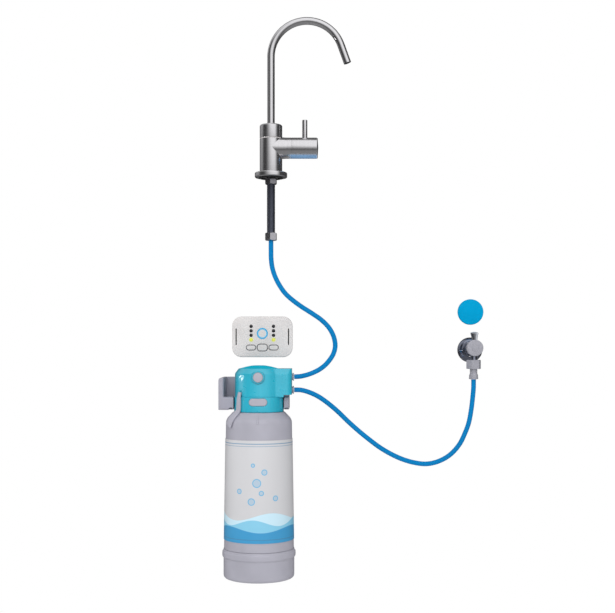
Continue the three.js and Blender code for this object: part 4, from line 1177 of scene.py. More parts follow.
@dataclass
class FilterHead:
    """Turquoise head with its ports, bleed button, collar and latch, about its own axis."""

    past: float = 40.0
    radius: float = 32.0
    bottom: float = -1.9
    shoulder: float = 28.7
    top: float = 35.4
    chamfer: float = 5.0
    cap_radius: float = 26.4
    cap_root: float = 32.0
    cap_top: float = 39.6
    dome: tuple[tuple[float, float], ...] = ((22.4, 0.24), (16.4, 0.62), (8.0, 1.0))
    port_face: float = 44.0
    port_half: float = 22.5
    blend: float = 6.0
    port_corner: float = 8.5
    port_lift: float = 2.9
    port_foot: float = 33.2
    ports: tuple[float, float] = (24.3, 6.9)
    port_bore: float = 4.875
    port_depth: float = 13.0
    collet_depth: float = 8.0
    collet_stand: float = 1.4
    rear_width: float = 32.0
    rear_depth: float = 33.7
    rear_middle: float = 36.85
    rear_levels: tuple[float, float] = (3.0, 26.0)
    skirt_bore: float = 23.0
    skirt_radius: float = 26.5
    skirt_drop: float = 10.0
    socket_radius: float = 17.5
    socket_top: float = 27.0
    button_level: float = 24.1
    button_radius: float = 6.5
    button_out: float = 34.8
    button_back: float = 27.8
    well_floor: float = 20.5
    stem_radius: float = 2.0
    stem_end: float = 19.5
    stem_room: float = 15.0
    coil_radius: float = 3.3
    coil_wire: float = 0.4
    coil_turns: int = 4
    coil_foot: float = 21.3
    coil_slack: float = 0.5
    bezel_radius: float = 8.4
    bezel_root: float = 22.0
    bezel_out: float = 33.4
    groove_depth: float = 3.8
    collar_radius: float = 33.0
    collar_top: float = -2.0
    collar_height: float = 19.9
    collar_bore: float = 26.8
    latch_width: float = 24.0
    latch_height: float = 9.8
    latch_level: float = -8.4
    latch_proud: float = 0.8
    latch_back: float = 30.8
    latch_rim: float = 0.9
    latch_gap: float = 0.25

    def outline(self, inset: float) -> Array:
        """Plan of the head: a circle and a square port block, blended by hollow arcs.

        Args:
            inset: how far the walls are drawn in; the port face stays where it is.

        Returns:
            The outline's points, anticlockwise.
        """
        reach, rise = self.radius + self.blend, self.port_half + self.blend
        blend_x = math.sqrt(reach**2 - rise**2)
        turn = math.atan2(rise, blend_x)
        corner_x = self.port_face - self.port_corner + inset
        corner_y = self.port_half - self.port_corner
        half = np.vstack([
            arc(corner_x, corner_y, self.port_corner - inset, 0, TURN / 4, 12),
            arc(blend_x, rise, self.blend + inset, -TURN / 4, turn - TURN / 2, 14),
            arc(0, 0, self.radius - inset, turn, TURN / 2, 60)[1:],
        ])
        mirrored = half[:-1][::-1] * (1, -1)
        return np.vstack([half, mirrored])

    def side(self) -> Array:
        """The block's side: soft foot, upright wall, chamfered shoulder.

        Returns:
            Insets and heights, one row each.
        """
        wall = [(0, height) for height in np.linspace(0.5, self.shoulder - 1.5, 14)]
        line = [(1.2, self.bottom), (0, self.bottom), *wall, (0, self.shoulder),
                (self.chamfer, self.top), (self.chamfer + 0.9, self.top)]
        return rounded(line, [0, 0.15, *[0] * len(wall), 0.6, 0.4, 0])

    def at_button(self, shell: Shell) -> Shell:
        """Lays a shell outwards along the bleed button's line, in the head's own frame."""
        return shell.laid(Axis.OUT).moved(0, 0, self.button_level)

    def additions(self) -> tuple[Shell, ...]:
        """What joins the block.

        Returns:
            The button's bezel, the rear and the skirt.
        """
        bezel = rod(self.bezel_radius, self.bezel_root, self.bezel_out, [0, 0, 0.5, 0], MEDIUM)
        rear = bar(self.rear_width, self.rear_depth, 1.5, *self.rear_levels)
        skirt = sleeve(self.skirt_bore, self.skirt_radius, self.bottom - self.skirt_drop, self.bottom + 2)
        return self.at_button(bezel), rear.moved(0, self.rear_middle, 0), skirt

    def hollows(self) -> tuple[Shell, ...]:
        """What is cut from the block.

        Returns:
            Button well, stem hole, ports, socket, the lever's slot and pocket, the bezel's groove
            and the room under the ports.
        """
        well = rod(self.button_radius + FITTING_GAP, self.well_floor, self.past, 0)
        stem_hole = rod(self.stem_radius + FITTING_GAP, self.stem_room, self.well_floor + 1.5, 0, SMALL)
        port = rod(self.port_bore, self.port_face - self.port_depth, self.port_face + 4, 0).laid(Axis.RIGHT)
        socket = rod(self.socket_radius, self.bottom - self.skirt_drop - 4, self.socket_top, 0)
        groove = sleeve(
            self.bezel_radius - 0.4, self.bezel_radius + 0.6, self.bezel_out - self.groove_depth, self.past,
            0, MEDIUM,
        )
        reach = 20.0
        under = bar(reach, 3 * reach, 1, self.bottom - 1, self.bottom + self.port_lift)
        return (
            self.at_button(well),
            self.at_button(stem_hole),
            *(port.moved(0, 0, level) for level in self.ports),
            socket,
            *GripLever().rooms(self.bottom - 3),
            self.at_button(groove),
            under.moved(self.port_foot + reach / 2, 0, 0),
        )

    def crown(self) -> None:
        """The cap on top, turned through radii and shares of its rise."""
        dome = [(reach, self.top + share * (self.cap_top - self.top)) for reach, share in self.dome]
        line = [(0, self.cap_root), (self.cap_radius, self.cap_root), (self.cap_radius, self.top), *dome,
                (0, self.cap_top)]
        cap = turned(line, [0, 0, 0.3, 3, 4, 5, 0])
        made("head_crown", cap.moved(0, -AXIS_OUT, 0), Body.FIXED, TURQUOISE_SATIN)

    def housing(self) -> None:
        """Head block: lofted outlines with what joins them and what is cut from them."""
        side = self.side()
        block = placed("head_block", lofted([self.outline(inset) for inset in side[:, 0]], side[:, 1]))
        self.crown()
        for part in self.additions():
            carved(block, part, Cut.JOIN)
        for part in self.hollows():
            carved(block, part, Cut.TAKE)
        shifted(block, (0, -AXIS_OUT * MM, 0))
        dressed(block, Body.FIXED, TURQUOISE, ["head_housing"], sharp=28)

    def button(self) -> None:
        """Bleed button: a shallow dome on a stem, pressed into the well."""
        back, stem = self.button_back, self.stem_radius
        line = [(0, self.stem_end), (stem, self.stem_end), (stem, back), (self.button_radius, back),
                (self.button_radius, self.button_out - 0.7), (0, self.button_out)]
        shell = self.at_button(turned(line, [0, 0, 0, 0.3, 0.8, 0], MEDIUM))
        made("bleed_cap", shell.moved(0, -AXIS_OUT, 0), Body.BLEED, GREY, ["bleed_button"])

    def spring(self) -> None:
        """Coil round the stem, from its foot in the well up to the button's back."""
        share = np.linspace(0, 1, 121)
        foot, head = self.coil_foot, self.button_back - self.coil_slack
        line = polar(self.coil_radius, share * TURN * self.coil_turns, foot + share * (head - foot))
        coil = self.at_button(piped(line, self.coil_wire, 12)).moved(0, -AXIS_OUT, 0)
        piece = placed("bleed_coil", coil)
        piece.data.materials.append(ZINC.material())
        piece.data.shade_smooth()
        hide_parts("bleed_spring")
        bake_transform(piece)
        log.info("%s: %d faces", piece.name, len(piece.data.polygons))

    def collets(self) -> None:
        """Push-fit collets of the two ports."""
        shell = Collet().shell(self.collet_depth, self.collet_stand).laid(Axis.RIGHT)
        for body, level in zip((Body.UPPER_COLLET, Body.LOWER_COLLET), self.ports):
            ring = shell.moved(self.port_face, -AXIS_OUT, level)
            made(f"{body.value}_ring", ring, body, GREY, [body.value])

    def collar(self) -> None:
        """Twist collar with a window for the latch."""
        low = self.collar_top - self.collar_height
        blends = [0, 0.9, 0.35, 0.3, 0]
        ring = sleeve(self.collar_bore, self.collar_radius, low, self.collar_top, blends, FINE)
        collar = placed("collar_ring", ring)
        gap = self.latch_gap
        window = bar(self.latch_width + 2 * gap, self.latch_height + 2 * gap, self.latch_height / 2 + gap,
                     10, self.past)
        carved(collar, window.laid(Axis.OUT).moved(0, 0, self.latch_level), Cut.TAKE)
        shifted(collar, (0, -AXIS_OUT * MM, 0))
        dressed(collar, Body.COLLAR, TURQUOISE, ["locking_collar"])

    def latch(self) -> None:
        """Latch: a pill with a soft rim, whose face bends round the collar."""
        turn = np.linspace(0, TURN / 4, 6)
        face, rim = self.collar_radius + self.latch_proud, self.latch_rim
        inner = np.linspace(1.6, self.latch_height / 2 - 0.05, 8)
        insets = np.concatenate([[0.0], rim * (1 - np.cos(turn)), inner])
        radii = np.concatenate([[self.latch_back], face - rim + rim * np.sin(turn), np.full(8, face)])
        rings = []
        for inset, radius in zip(insets, radii):
            pill = stadium(self.latch_width, self.latch_height, self.latch_height / 2, inset)
            rings.append(np.column_stack([pill[:, 0], -np.sqrt(radius**2 - pill[:, 0] ** 2), pill[:, 1]]))
        shell = skin(np.stack(rings)).moved(0, -AXIS_OUT, self.latch_level)
        made("latch_pad", shell, Body.LATCH, GREY, ["latch_button"], sharp=60)

    def build(self) -> None:
        """The whole head."""
        self.housing()
        self.button()
        self.spring()
        self.collets()
        self.collar()
        self.latch()


@dataclass
class GripLever:
    """The strap lever that hangs from the head over the collar and the bottle's shoulder."""

    pivot_out: float = 29.6
    pivot_up: float = 7.0
    drop: float = 47.0
    hinge_turn: float = math.radians(43.0)
    start: float = math.radians(46.0)
    sweep: float = math.radians(11.4)
    thickness: float = 2.8
    top_width: float = 5.3
    tip_width: float = 9.3
    belly: float = 1.5
    gap: float = 0.7
    root_share: float = 0.18
    root_stand: float = 0.55
    bare_share: float = 0.055
    oval_wide: float = 0.3
    oval_thick: float = 0.45
    hub: float = 2.45
    hub_width: float = 5.6
    web_width: float = 3.0
    web_depth: float = 3.8
    web_foot: float = 2.0
    web_out: float = 30.2
    pocket_width: float = 6.0
    pocket_slack: float = 0.1
    slot_width: float = 3.4
    slot_depth: float = 9.0
    slot_out: float = 31.1

    def body_radius(self, height: Array) -> Array:
        """Outer radius of what the strap hangs over: collar, cone and rounded shoulder.

        Args:
            height: heights in the part's frame.

        Returns:
            The radius at each height.
        """
        bottle, collar = Cartridge(), FilterHead().collar_radius
        bend = arc(bottle.top_radius - bottle.bend, bottle.straight_top, bottle.bend, 0, TURN / 8, 24)
        cone = bottle.shoulder_top
        heights = np.concatenate([[-60.0], bend[:, 1], [cone, cone + 0.01, 20]])
        radii = np.concatenate([[bottle.top_radius], bend[:, 0], [bottle.shoulder_radius, collar, collar]])
        return np.interp(height, heights, radii)

    def middle(self, share: Array) -> Array:
        """Middle line: it keeps a gap outside the body and sweeps round it as the share cubed.

        Args:
            share: how far down the strap, from 0 at the pin to 1 at the tip.

        Returns:
            Points about the filter's axis.
        """
        height = self.pivot_up - share * self.drop
        turn = np.linspace(0, TURN / 4, 13)[:, None]
        off = self.gap + self.thickness / 2
        riding = (self.body_radius(height - off * np.sin(turn)) + off * np.cos(turn)).max(axis=0)
        rooting = np.clip(self.root_stand + share / self.root_share * (1 - self.root_stand), 0, 1)
        radius = self.pivot_out + rooting * (riding - self.pivot_out)
        angle = self.start + self.sweep * share**3
        return np.stack([-radius * np.sin(angle), -radius * np.cos(angle), height], axis=-1)

    def hinged(self, shell: Shell) -> Shell:
        """Turns a shell made at the front to the hinge line, along which the strap stands off-centre."""
        aside = self.pivot_out * (self.start - self.hinge_turn)
        return shell.moved(-aside, 0, 0).spun(-self.hinge_turn)

    def knuckle(self, radius: float, width: float) -> Shell:
        """A roll round the lever's pin, in the head's own frame."""
        roll = rod(radius, -width / 2, width / 2, 0, MEDIUM).laid(Axis.RIGHT)
        return self.hinged(roll.moved(0, -self.pivot_out, self.pivot_up))

    def rooms(self, foot: float) -> tuple[Shell, Shell]:
        """The web's slot, from a height up to the pin, and the roll's pocket."""
        slot = bar(self.slot_width, self.slot_depth, 0.4, foot, self.pivot_up).moved(0, -self.slot_out, 0)
        return self.hinged(slot), self.knuckle(self.hub + self.pocket_slack, self.pocket_width)

    def strap(self) -> Array:
        """Grid of the strap: flat ovals across the middle line, smaller at the ends, with a belly.

        Returns:
            Rings of points about the filter's axis.
        """
        bare = self.bare_share
        near, far = [bare, bare + 0.006], [0.994, 0.999, 1.0]
        share = np.concatenate([near, np.linspace(bare + 0.016, 0.985, 60), far])
        ends = np.concatenate([[0.84, 0.96], np.ones(60), [0.97, 0.9, 0.78]])[:, None, None]
        kernel = np.linspace(-0.03, 0.03, 9)
        centre = np.mean([self.middle(np.clip(share + k, 0, 1.05)) for k in kernel], axis=0)
        along = np.gradient(centre, axis=0)
        along /= np.linalg.norm(along, axis=1, keepdims=True)
        across = np.cross(centre * (1, 1, 0), along)
        across /= np.linalg.norm(across, axis=1, keepdims=True)
        through = np.cross(along, across)
        angle = np.linspace(0, TURN, 36, endpoint=False)[None, :, None]
        wide, thick = squared(np.cos(angle), self.oval_wide), squared(np.sin(angle), self.oval_thick)
        spread = np.clip((share - 0.12) / 0.28, 0, 1)
        belly = self.belly * spread**2 * (3 - 2 * spread)
        half = ((self.top_width + belly + (self.tip_width - self.top_width) * share**2) / 2)[:, None, None]
        section = half * wide * across[:, None] + self.thickness / 2 * thick * through[:, None]
        return centre[:, None] + ends * section

    def build(self) -> None:
        """The strap, and under it a web and a roll of the head's colour."""
        strap = skin(self.strap()).moved(0, -AXIS_OUT, 0)
        made("strap_lever", strap, Body.LEVER, GREY, ["grip_lever"], sharp=50)
        web = bar(self.web_width, self.web_depth, 0.3, self.web_foot, self.pivot_up - 2.1)
        hub = self.knuckle(self.hub, self.hub_width) + self.hinged(web.moved(0, -self.web_out, 0))
        made("lever_hub", hub.moved(0, -AXIS_OUT, 0), Body.LEVER, TURQUOISE)


@dataclass
class WallBracket:
    """The grey bracket: its CAD solid, kept inside an envelope with round front edges."""

    left: float = -53.5
    right: float = 40.0
    top: float = 22.9
    drop: float = 19.5
    reach: float = 70.0
    corner: float = 3.6
    plate: float = 6.0
    cheek: float = 7.0
    shelf_top: float = -2.5
    round_edge: float = 2.6
    collar_room: float = 35.0
    edge: float = 0.8
    slack: float = 0.2

    def outline(self, inset: float) -> Array:
        """The L of cheek and shelf, with blended corners.

        Args:
            inset: how far it is drawn in.

        Returns:
            The outline's points in X and Z, anticlockwise.
        """
        left, right = self.left + inset, self.right - inset
        low, ledge, high = inset - self.drop, self.shelf_top - inset, self.top - inset
        inner = self.left + self.cheek - inset
        bend_x, bend_z = self.left + self.corner, self.top - self.corner
        sides = rounded(
            [(left, low + 6), (left, low), (right, low), (right, ledge), (inner, ledge), (inner, high),
             (inner - 0.6, high)],
            [0, 1.6, 1.2, 1.2, 3.0, 0.8, 0],
        )
        bend = arc(bend_x, bend_z, self.corner - inset, TURN / 4, TURN / 2, 8)
        return np.vstack([sides, bend])

    def build(self) -> None:
        """Cuts the CAD solid to the envelope, opens its collar room and softens its edges."""
        turn = np.linspace(0, TURN / 4, 8)
        insets = np.concatenate([[-self.slack], self.round_edge * (1 - np.cos(turn)) - self.slack])
        depths = np.concatenate([[-1.0], self.reach - self.round_edge * (1 - np.sin(turn)) + 0.02])
        piece = placed("bracket_frame", lofted([self.outline(i) for i in insets], depths).laid(Axis.OUT))
        width = self.right - self.left + 2 * self.slack
        height = self.top + self.drop + 2 * self.slack
        slab = bar(width, height, self.corner, -1.0, self.plate + self.slack)
        middle = ((self.left + self.right) / 2, 0, (self.top - self.drop) / 2)
        carved(piece, slab.laid(Axis.OUT).moved(*middle), Cut.JOIN)
        carved(piece, self.solid(), Cut.KEEP)
        room = rod(self.collar_room, -self.drop - 2, self.shelf_top + 2, 0, FINE)
        carved(piece, room.moved(0, -AXIS_OUT, 0), Cut.TAKE)
        dressed(piece, Body.FIXED, GREY_BRACKET, ["wall_bracket"], sharp=35, bevel=self.edge)

    def solid(self) -> Shell:
        """The bracket's CAD solid, with its loose triangles merged.

        Returns:
            The solid as a shell.
        """
        work = bmesh.new()
        work.from_mesh(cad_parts["wall_bracket"].data)
        bmesh.ops.remove_doubles(work, verts=work.verts, dist=1e-6)
        merged = bpy.data.meshes.new("bracket_solid")
        work.to_mesh(merged)
        work.free()
        points = np.empty((len(merged.vertices), 3))
        merged.vertices.foreach_get("co", points.ravel())
        faces = np.empty((len(merged.polygons), 3), int)
        merged.loops.foreach_get("vertex_index", faces.ravel())
        return Shell(points / MM, faces.tolist())


@dataclass
class Cartridge:
    """Bottle, bottom cup, shoulder rib and printed sleeve, about the filter's axis."""

    wall: float = 2.2
    neck_bore: float = 12.3
    neck_foot: float = -15.3
    hub_radius: float = 26.2
    hub_bore: float = 23.9
    hub_top: float = -13.0
    shoulder_top: float = -22.2
    shoulder_radius: float = 34.4
    shoulder_bore: float = 33.3
    ceiling: float = -24.4
    straight_top: float = -37.0
    bend: float = 12.0
    top_radius: float = 43.9
    foot_radius: float = 46.5
    rib_half: float = 1.35
    rib_proud: float = 0.85
    seam: float = -203.0
    cup_radius: float = 47.1
    bead_radius: float = 48.8
    bead_levels: tuple[float, ...] = (-215.0, -213.0, -207.0, -205.0)
    bottom: float = -242.4
    foot_rise: float = 2.5
    foot_ring: tuple[float, float] = (30.0, 34.0)
    floor_rise: float = 3.0
    plug_radius: float = 44.0
    plug_bore: float = 41.8
    plug_rise: float = 6.0
    post_radius: float = 22.5
    post_bore: float = 20.3
    post_top: float = -195.6
    sleeve_top: float = -57.5
    sleeve_foot: float = -190.5
    sleeve_gap: float = 0.1
    sleeve_film: float = 0.45

    def shoulder(self) -> Array:
        """The shoulder's profile: a cone, then a bend of an eighth of a turn into the wall."""
        bend = arc(self.top_radius - self.bend, self.straight_top, self.bend, math.pi / 4, 0, 14)
        return np.vstack([[(self.shoulder_radius, self.shoulder_top)], bend])

    def shown(self, name: str, shell: Shell, finish: Finish, *nodes: str) -> None:
        """Stands a shell on the filter's axis and dresses it as a piece of the cartridge."""
        made(name, shell.moved(0, -AXIS_OUT, 0), Body.CARTRIDGE, finish, nodes)

    def bottle(self) -> None:
        """Bottle shell turned from its profile, hollow below."""
        bend = [tuple(point) for point in self.shoulder()]
        line = [(self.neck_bore, self.hub_top), (self.hub_radius, self.hub_top),
                (self.hub_radius, self.shoulder_top), *bend, (self.foot_radius, self.seam),
                (self.foot_radius - self.wall, self.seam), (self.top_radius - self.wall, self.straight_top),
                (self.shoulder_bore, self.ceiling), (self.hub_bore, self.ceiling),
                (self.hub_bore, self.neck_foot), (self.neck_bore, self.neck_foot),
                (self.neck_bore, self.hub_top)]
        blends = [0, 0.5, 0, 0.9, 1.2] + [0.5] * (len(bend) - 2) + [0.4, 0.3] + [0] * 6
        self.shown("bottle_shell", turned(line, blends, WIDEST), GREY, "cartridge_shell")

    def rib(self) -> None:
        """A low sight rib down the front of the shoulder: the shoulder's line lifted by an oval."""
        line = rounded(self.shoulder(), 1.5)
        angle = np.linspace(0, TURN, 20, endpoint=False)
        fade = np.clip(np.linspace(0, 8, len(line)), 0.3, 1) * np.clip(np.linspace(8, 0, len(line)), 0.2, 1)
        radius = line[:, :1] + self.rib_proud * fade[:, None] * np.clip(np.sin(angle), -0.5, 1)
        x = self.rib_half * np.cos(angle) + 0 * line[:, :1]
        rings = np.stack([x, -radius, line[:, 1:] + 0 * x], axis=-1)
        self.shown("shoulder_rib", skin(rings), GREY)

    def cup(self) -> None:
        """Bottom cup with its round bead, plug and pedestal."""
        cup, bead, plug, post = self.cup_radius, self.bead_radius, self.plug_radius, self.post_radius
        sole, top = self.bottom + self.foot_rise, self.seam - 0.3
        floor, brim = self.bottom + self.wall + self.floor_rise, top + self.plug_rise
        line = [(0, sole), (self.foot_ring[0], sole), (self.foot_ring[1], self.bottom), (cup, self.bottom),
                *zip((cup, bead, bead, cup), self.bead_levels),
                (cup, top), (plug, top), (plug, brim), (self.plug_bore, brim), (self.plug_bore, floor),
                (post, floor), (post, self.post_top), (self.post_bore, self.post_top),
                (self.post_bore, floor), (0, floor)]
        blends = [0, 1.5, 1.5, 5.0, 1.2, 1.9, 1.9, 1.0, 0.4, 0, 0.3] + [0] * 7
        self.shown("bottom_cup", turned(line, blends, WIDEST), GREY, "base_cup")

    def label(self) -> None:
        """Printed film sleeve just outside the tapering wall."""
        top, foot = self.sleeve_top, self.sleeve_foot
        levels = np.array([foot, foot, top, top, foot])
        share = (self.straight_top - levels) / (self.straight_top - self.seam)
        wall = self.top_radius + share * (self.foot_radius - self.top_radius) + self.sleeve_gap
        line = np.column_stack([wall + np.array([0, 1, 1, 0, 0]) * self.sleeve_film, levels])
        self.shown("film_sleeve", turned(line, 0.1, WIDEST), SLEEVE, "label_sleeve")

    def build(self) -> None:
        """The bottle and what is on it."""
        self.bottle()
        self.rib()
        self.cup()
        self.label()


@dataclass
class Faucet:
    """Gooseneck faucet about its own upright axis, with heights from the flange's underside."""

    at: Triple = (16.0, -60.0, 289.7)
    past: float = 60.0
    radius: float = 15.0
    bore: float = 6.4
    flange_radius: float = 21.6
    flange_height: float = 6.8
    seam: float = 51.4
    swivel_top: float = 70.2
    # A thin pale ring below and above the seam: painted highlight.
    highlight_low: float = 0.2
    highlight_high: float = 0.6
    branch_radius: float = 13.9
    branch_level: float = 39.3
    branch_end: float = 27.9
    branch_foot: float = 0.55
    branch_edge: float = 0.12
    barrel_start: float = 28.0
    barrel_end: float = 61.2
    barrel_bore: float = 10.4
    barrel_floor: tuple[float, float] = (33.9, 47.4)
    cap_radius: float = 13.5
    cap_levels: tuple[float, float, float] = (61.5, 62.2, 63.0)
    pin_radius: float = 3.45
    pin_root: float = 8.4
    pin_place: float = 45.0
    pin_reach: float = 37.4
    seal_bore: float = 12.6
    seal_radius: float = 15.8
    nut_radius: float = 8.4
    nut_turn: float = math.radians(24)
    deck_nut: tuple[float, float] = (-9.0, -1.8)
    union_nut: tuple[float, float] = (-83.7, -73.7)
    shank_room: float = 5.85
    tube_room: float = 3.475
    shank_radius: float = 5.55
    shank_foot: float = -78.7
    plug_radius: float = 5.1
    plug_height: float = 5.0
    thread_pitch: float = 1.4
    thread_depth: float = 0.42
    spout_radius: float = 5.0
    spout_root: float = 33.0
    bush_bore: float = 5.3
    bush_radius: float = 6.1
    bush_rim: float = 6.9
    rim_height: float = 1.3
    arch_centre: float = 161.0
    arch_radius: float = 48.0
    arch_sweep: float = math.radians(160)
    tail: float = 26.0

    def flange(self) -> None:
        """Deck flange with softened edges, a little higher at the body."""
        bore, rim, height = self.shank_room, self.flange_radius, self.flange_height
        line = [(bore, 0), (rim - 0.7, 0), (rim, 0.8), (rim, height - 1.0), (rim - 1.0, height - 0.2),
                (self.radius + 0.2, height), (bore, height), (bore, 0)]
        shell = turned(line, [0, 0.3, 0.4, 0.8, 0.9, 0.3, 0, 0]).moved(*self.at)
        made("deck_flange", shell, Body.FIXED, STEEL, ["base_flange"])

    def trunk(self) -> None:
        """Upright body and its branch, which runs into it and is bored with it for the bush."""
        foot, top, well = self.flange_height + 0.2, self.seam - 0.3, self.spout_root - 0.5
        radius, bore, end = self.radius, self.bore, self.branch_end
        line = [(0, foot), (radius, foot), (radius, top), (bore, top), (bore, well), (0, well)]
        body = turned(line, [0, 0.35, 0.35, 0, 0, 0])
        made("faucet_trunk", body.moved(*self.at), Body.FIXED, STEEL, ["faucet_body"])
        along = np.linspace(0, end - self.branch_edge, 24)
        width = np.interp(along, (0, 12, 20), (radius - 0.04, radius - self.branch_foot, self.branch_radius))
        line = [(0, 0), *zip(width, along), (self.branch_radius - self.branch_edge, end), (0, end)]
        branch = placed("faucet_branch", turned(line, 0).laid(Axis.RIGHT).moved(0, 0, self.branch_level))
        carved(branch, rod(radius + 0.15, top, self.past, 0, FINE), Cut.TAKE)
        carved(branch, rod(bore, well, self.past, 0), Cut.TAKE)
        shifted(branch, Vector(self.at) * MM)
        dressed(branch, Body.FIXED, STEEL_BARREL, sharp=30)

    def nuts(self) -> None:
        """Rubber seal under the flange, the deck nut and the union nut."""
        seal = sleeve(self.seal_bore, self.seal_radius, -1.25, -0.05, 0.2)
        made("flange_seal", seal.moved(*self.at), Body.FIXED, RUBBER, ["flange_gasket"])
        for name, node, finish, levels, bore, chamfer in (
            # The deck nut takes the darker plating: painted shade under the flange.
            ("deck_hexagon", "deck_nut", NUT_SHADE, self.deck_nut, self.shank_room, 1.2),
            ("union_hexagon", "shank_nut", NUT_STEEL, self.union_nut, self.tube_room, 0.7),
        ):
            nut = hexagon_nut(self.nut_radius, *levels, bore, chamfer).spun(self.nut_turn)
            made(name, nut.moved(*self.at), Body.FIXED, finish, [node], sharp=24)

    def shank(self) -> None:
        """Threaded shank: the radius rises and falls with height over pitch less the turn."""
        angle = np.linspace(0, TURN, 48, endpoint=False)[None, :]
        plug_top = self.shank_foot + self.plug_height
        height = np.arange(plug_top + 0.2, self.deck_nut[0] - 0.2, self.thread_pitch / 8)[:, None]
        wave = np.abs(np.mod(height / self.thread_pitch - angle / TURN, 1) * 2 - 1)
        crest = self.shank_radius - self.thread_depth * np.clip(wave * 1.3 - 0.15, 0, 1)
        shell = skin(polar(crest, angle, height)) + rod(self.plug_radius, self.shank_foot, plug_top, 0)
        made("threaded_shank", shell.moved(*self.at), Body.FIXED, DARK_STEEL, ["shank"], sharp=60)

    def spout_line(self) -> Array:
        """Centre line of the spout: upright, an arch of cosine and sine, and a straight tail.

        Returns:
            The line's points, from the body to the tip.
        """
        rise = np.linspace(self.spout_root, self.arch_centre, 12, endpoint=False)
        turn = math.pi - np.linspace(0, self.arch_sweep, 90)
        arch_x = self.arch_radius * (1 + np.cos(turn))
        arch_z = self.arch_centre + self.arch_radius * np.sin(turn)
        step = np.linspace(0, self.tail, 8)[1:]
        tail_x = arch_x[-1] + step * math.sin(turn[-1])
        tail_z = arch_z[-1] - step * math.cos(turn[-1])
        x = np.concatenate([0 * rise, arch_x, tail_x])
        z = np.concatenate([rise, arch_z, tail_z])
        return np.stack([x, 0 * x, z], axis=-1)

    def spout(self) -> None:
        """Swivel ring over a thin pale ring that paints a highlight along the seam, bush collar and the
        hollow spout.
        """
        radius, bore, top = self.radius, self.bore, self.swivel_top
        low, high = self.seam - self.highlight_low, self.seam + self.highlight_high
        # A thin pale ring at the seam: painted highlight where the body meets the swivel.
        highlight_ring = sleeve(bore, radius + 0.05, low, high, 0.15, FINE)
        made("seam_highlight_ring", highlight_ring.moved(*self.at), Body.SPOUT, PALE)
        foot = high + 0.1
        line = [(bore, foot), (radius, foot), (radius, top - 1.4), (radius - 1.5, top), (bore, top),
                (bore, foot)]
        ring = turned(line, [0, 0.35, 0.8, 0.8, 0.2, 0])
        made("swivel_sleeve", ring.moved(*self.at), Body.SPOUT, STEEL, ["swivel_ring"])
        bush, root, rim = self.bush_radius, self.spout_root, top + 0.3
        line = [(self.bush_bore, root), (bush, root), (bush, rim), (self.bush_rim, rim),
                (self.bush_rim, rim + self.rim_height), (self.bush_bore, rim + self.rim_height),
                (self.bush_bore, root)]
        collar = turned(line, [0, 0, 0, 0.2, 0.35, 0, 0], MEDIUM)
        made("bush_collar", collar.moved(*self.at), Body.SPOUT, PALE, ["spout_bush"])
        tube = piped(self.spout_line(), self.spout_radius, 64, self.spout_radius - 1)
        made("gooseneck", tube.moved(*self.at), Body.SPOUT, STEEL_SPOUT, ["spout"], sharp=40)

    def handle(self) -> None:
        """Barrel with its dark end cap and the upright pin."""
        x, y, z = self.at
        place = (x, y, z + self.branch_level)
        start, end, outer, bore = self.barrel_start, self.barrel_end, self.branch_radius, self.barrel_bore
        line = [(bore, start), (outer, start), (outer, end), (0, end), (0, self.barrel_floor[1]),
                (bore, self.barrel_floor[0]), (bore, start)]
        barrel = placed("handle_barrel", turned(line, [0, 0.12, 0.35, 0, 0, 0, 0]).laid(Axis.RIGHT))
        hole = rod(self.pin_radius + 0.2, self.pin_root - 0.4, 20, 0, SMALL).moved(self.pin_place, 0, 0)
        carved(barrel, hole, Cut.TAKE)
        shifted(barrel, Vector(place) * MM)
        dressed(barrel, Body.FAUCET_HANDLE, STEEL_BARREL, ["handle_sleeve"])
        pin = rod(self.pin_radius, self.pin_root, self.pin_reach, 0.6).moved(self.pin_place, 0, 0)
        made("handle_stick", pin.moved(*place), Body.FAUCET_HANDLE, STEEL_SPOUT, ["handle_pin"])
        inner, edge, face = self.cap_levels
        line = [(0, inner), (self.cap_radius, inner), (self.cap_radius, edge), (0, face)]
        cap = turned(line, [0, 0.2, 0.6, 0]).laid(Axis.RIGHT)
        made("barrel_end", cap.moved(*place), Body.FAUCET_HANDLE, DARK, ["handle_cap"])

    def build(self) -> None:
        """The whole faucet."""
        self.flange()
        self.trunk()
        self.nuts()
        self.shank()
        self.spout()
        self.handle()


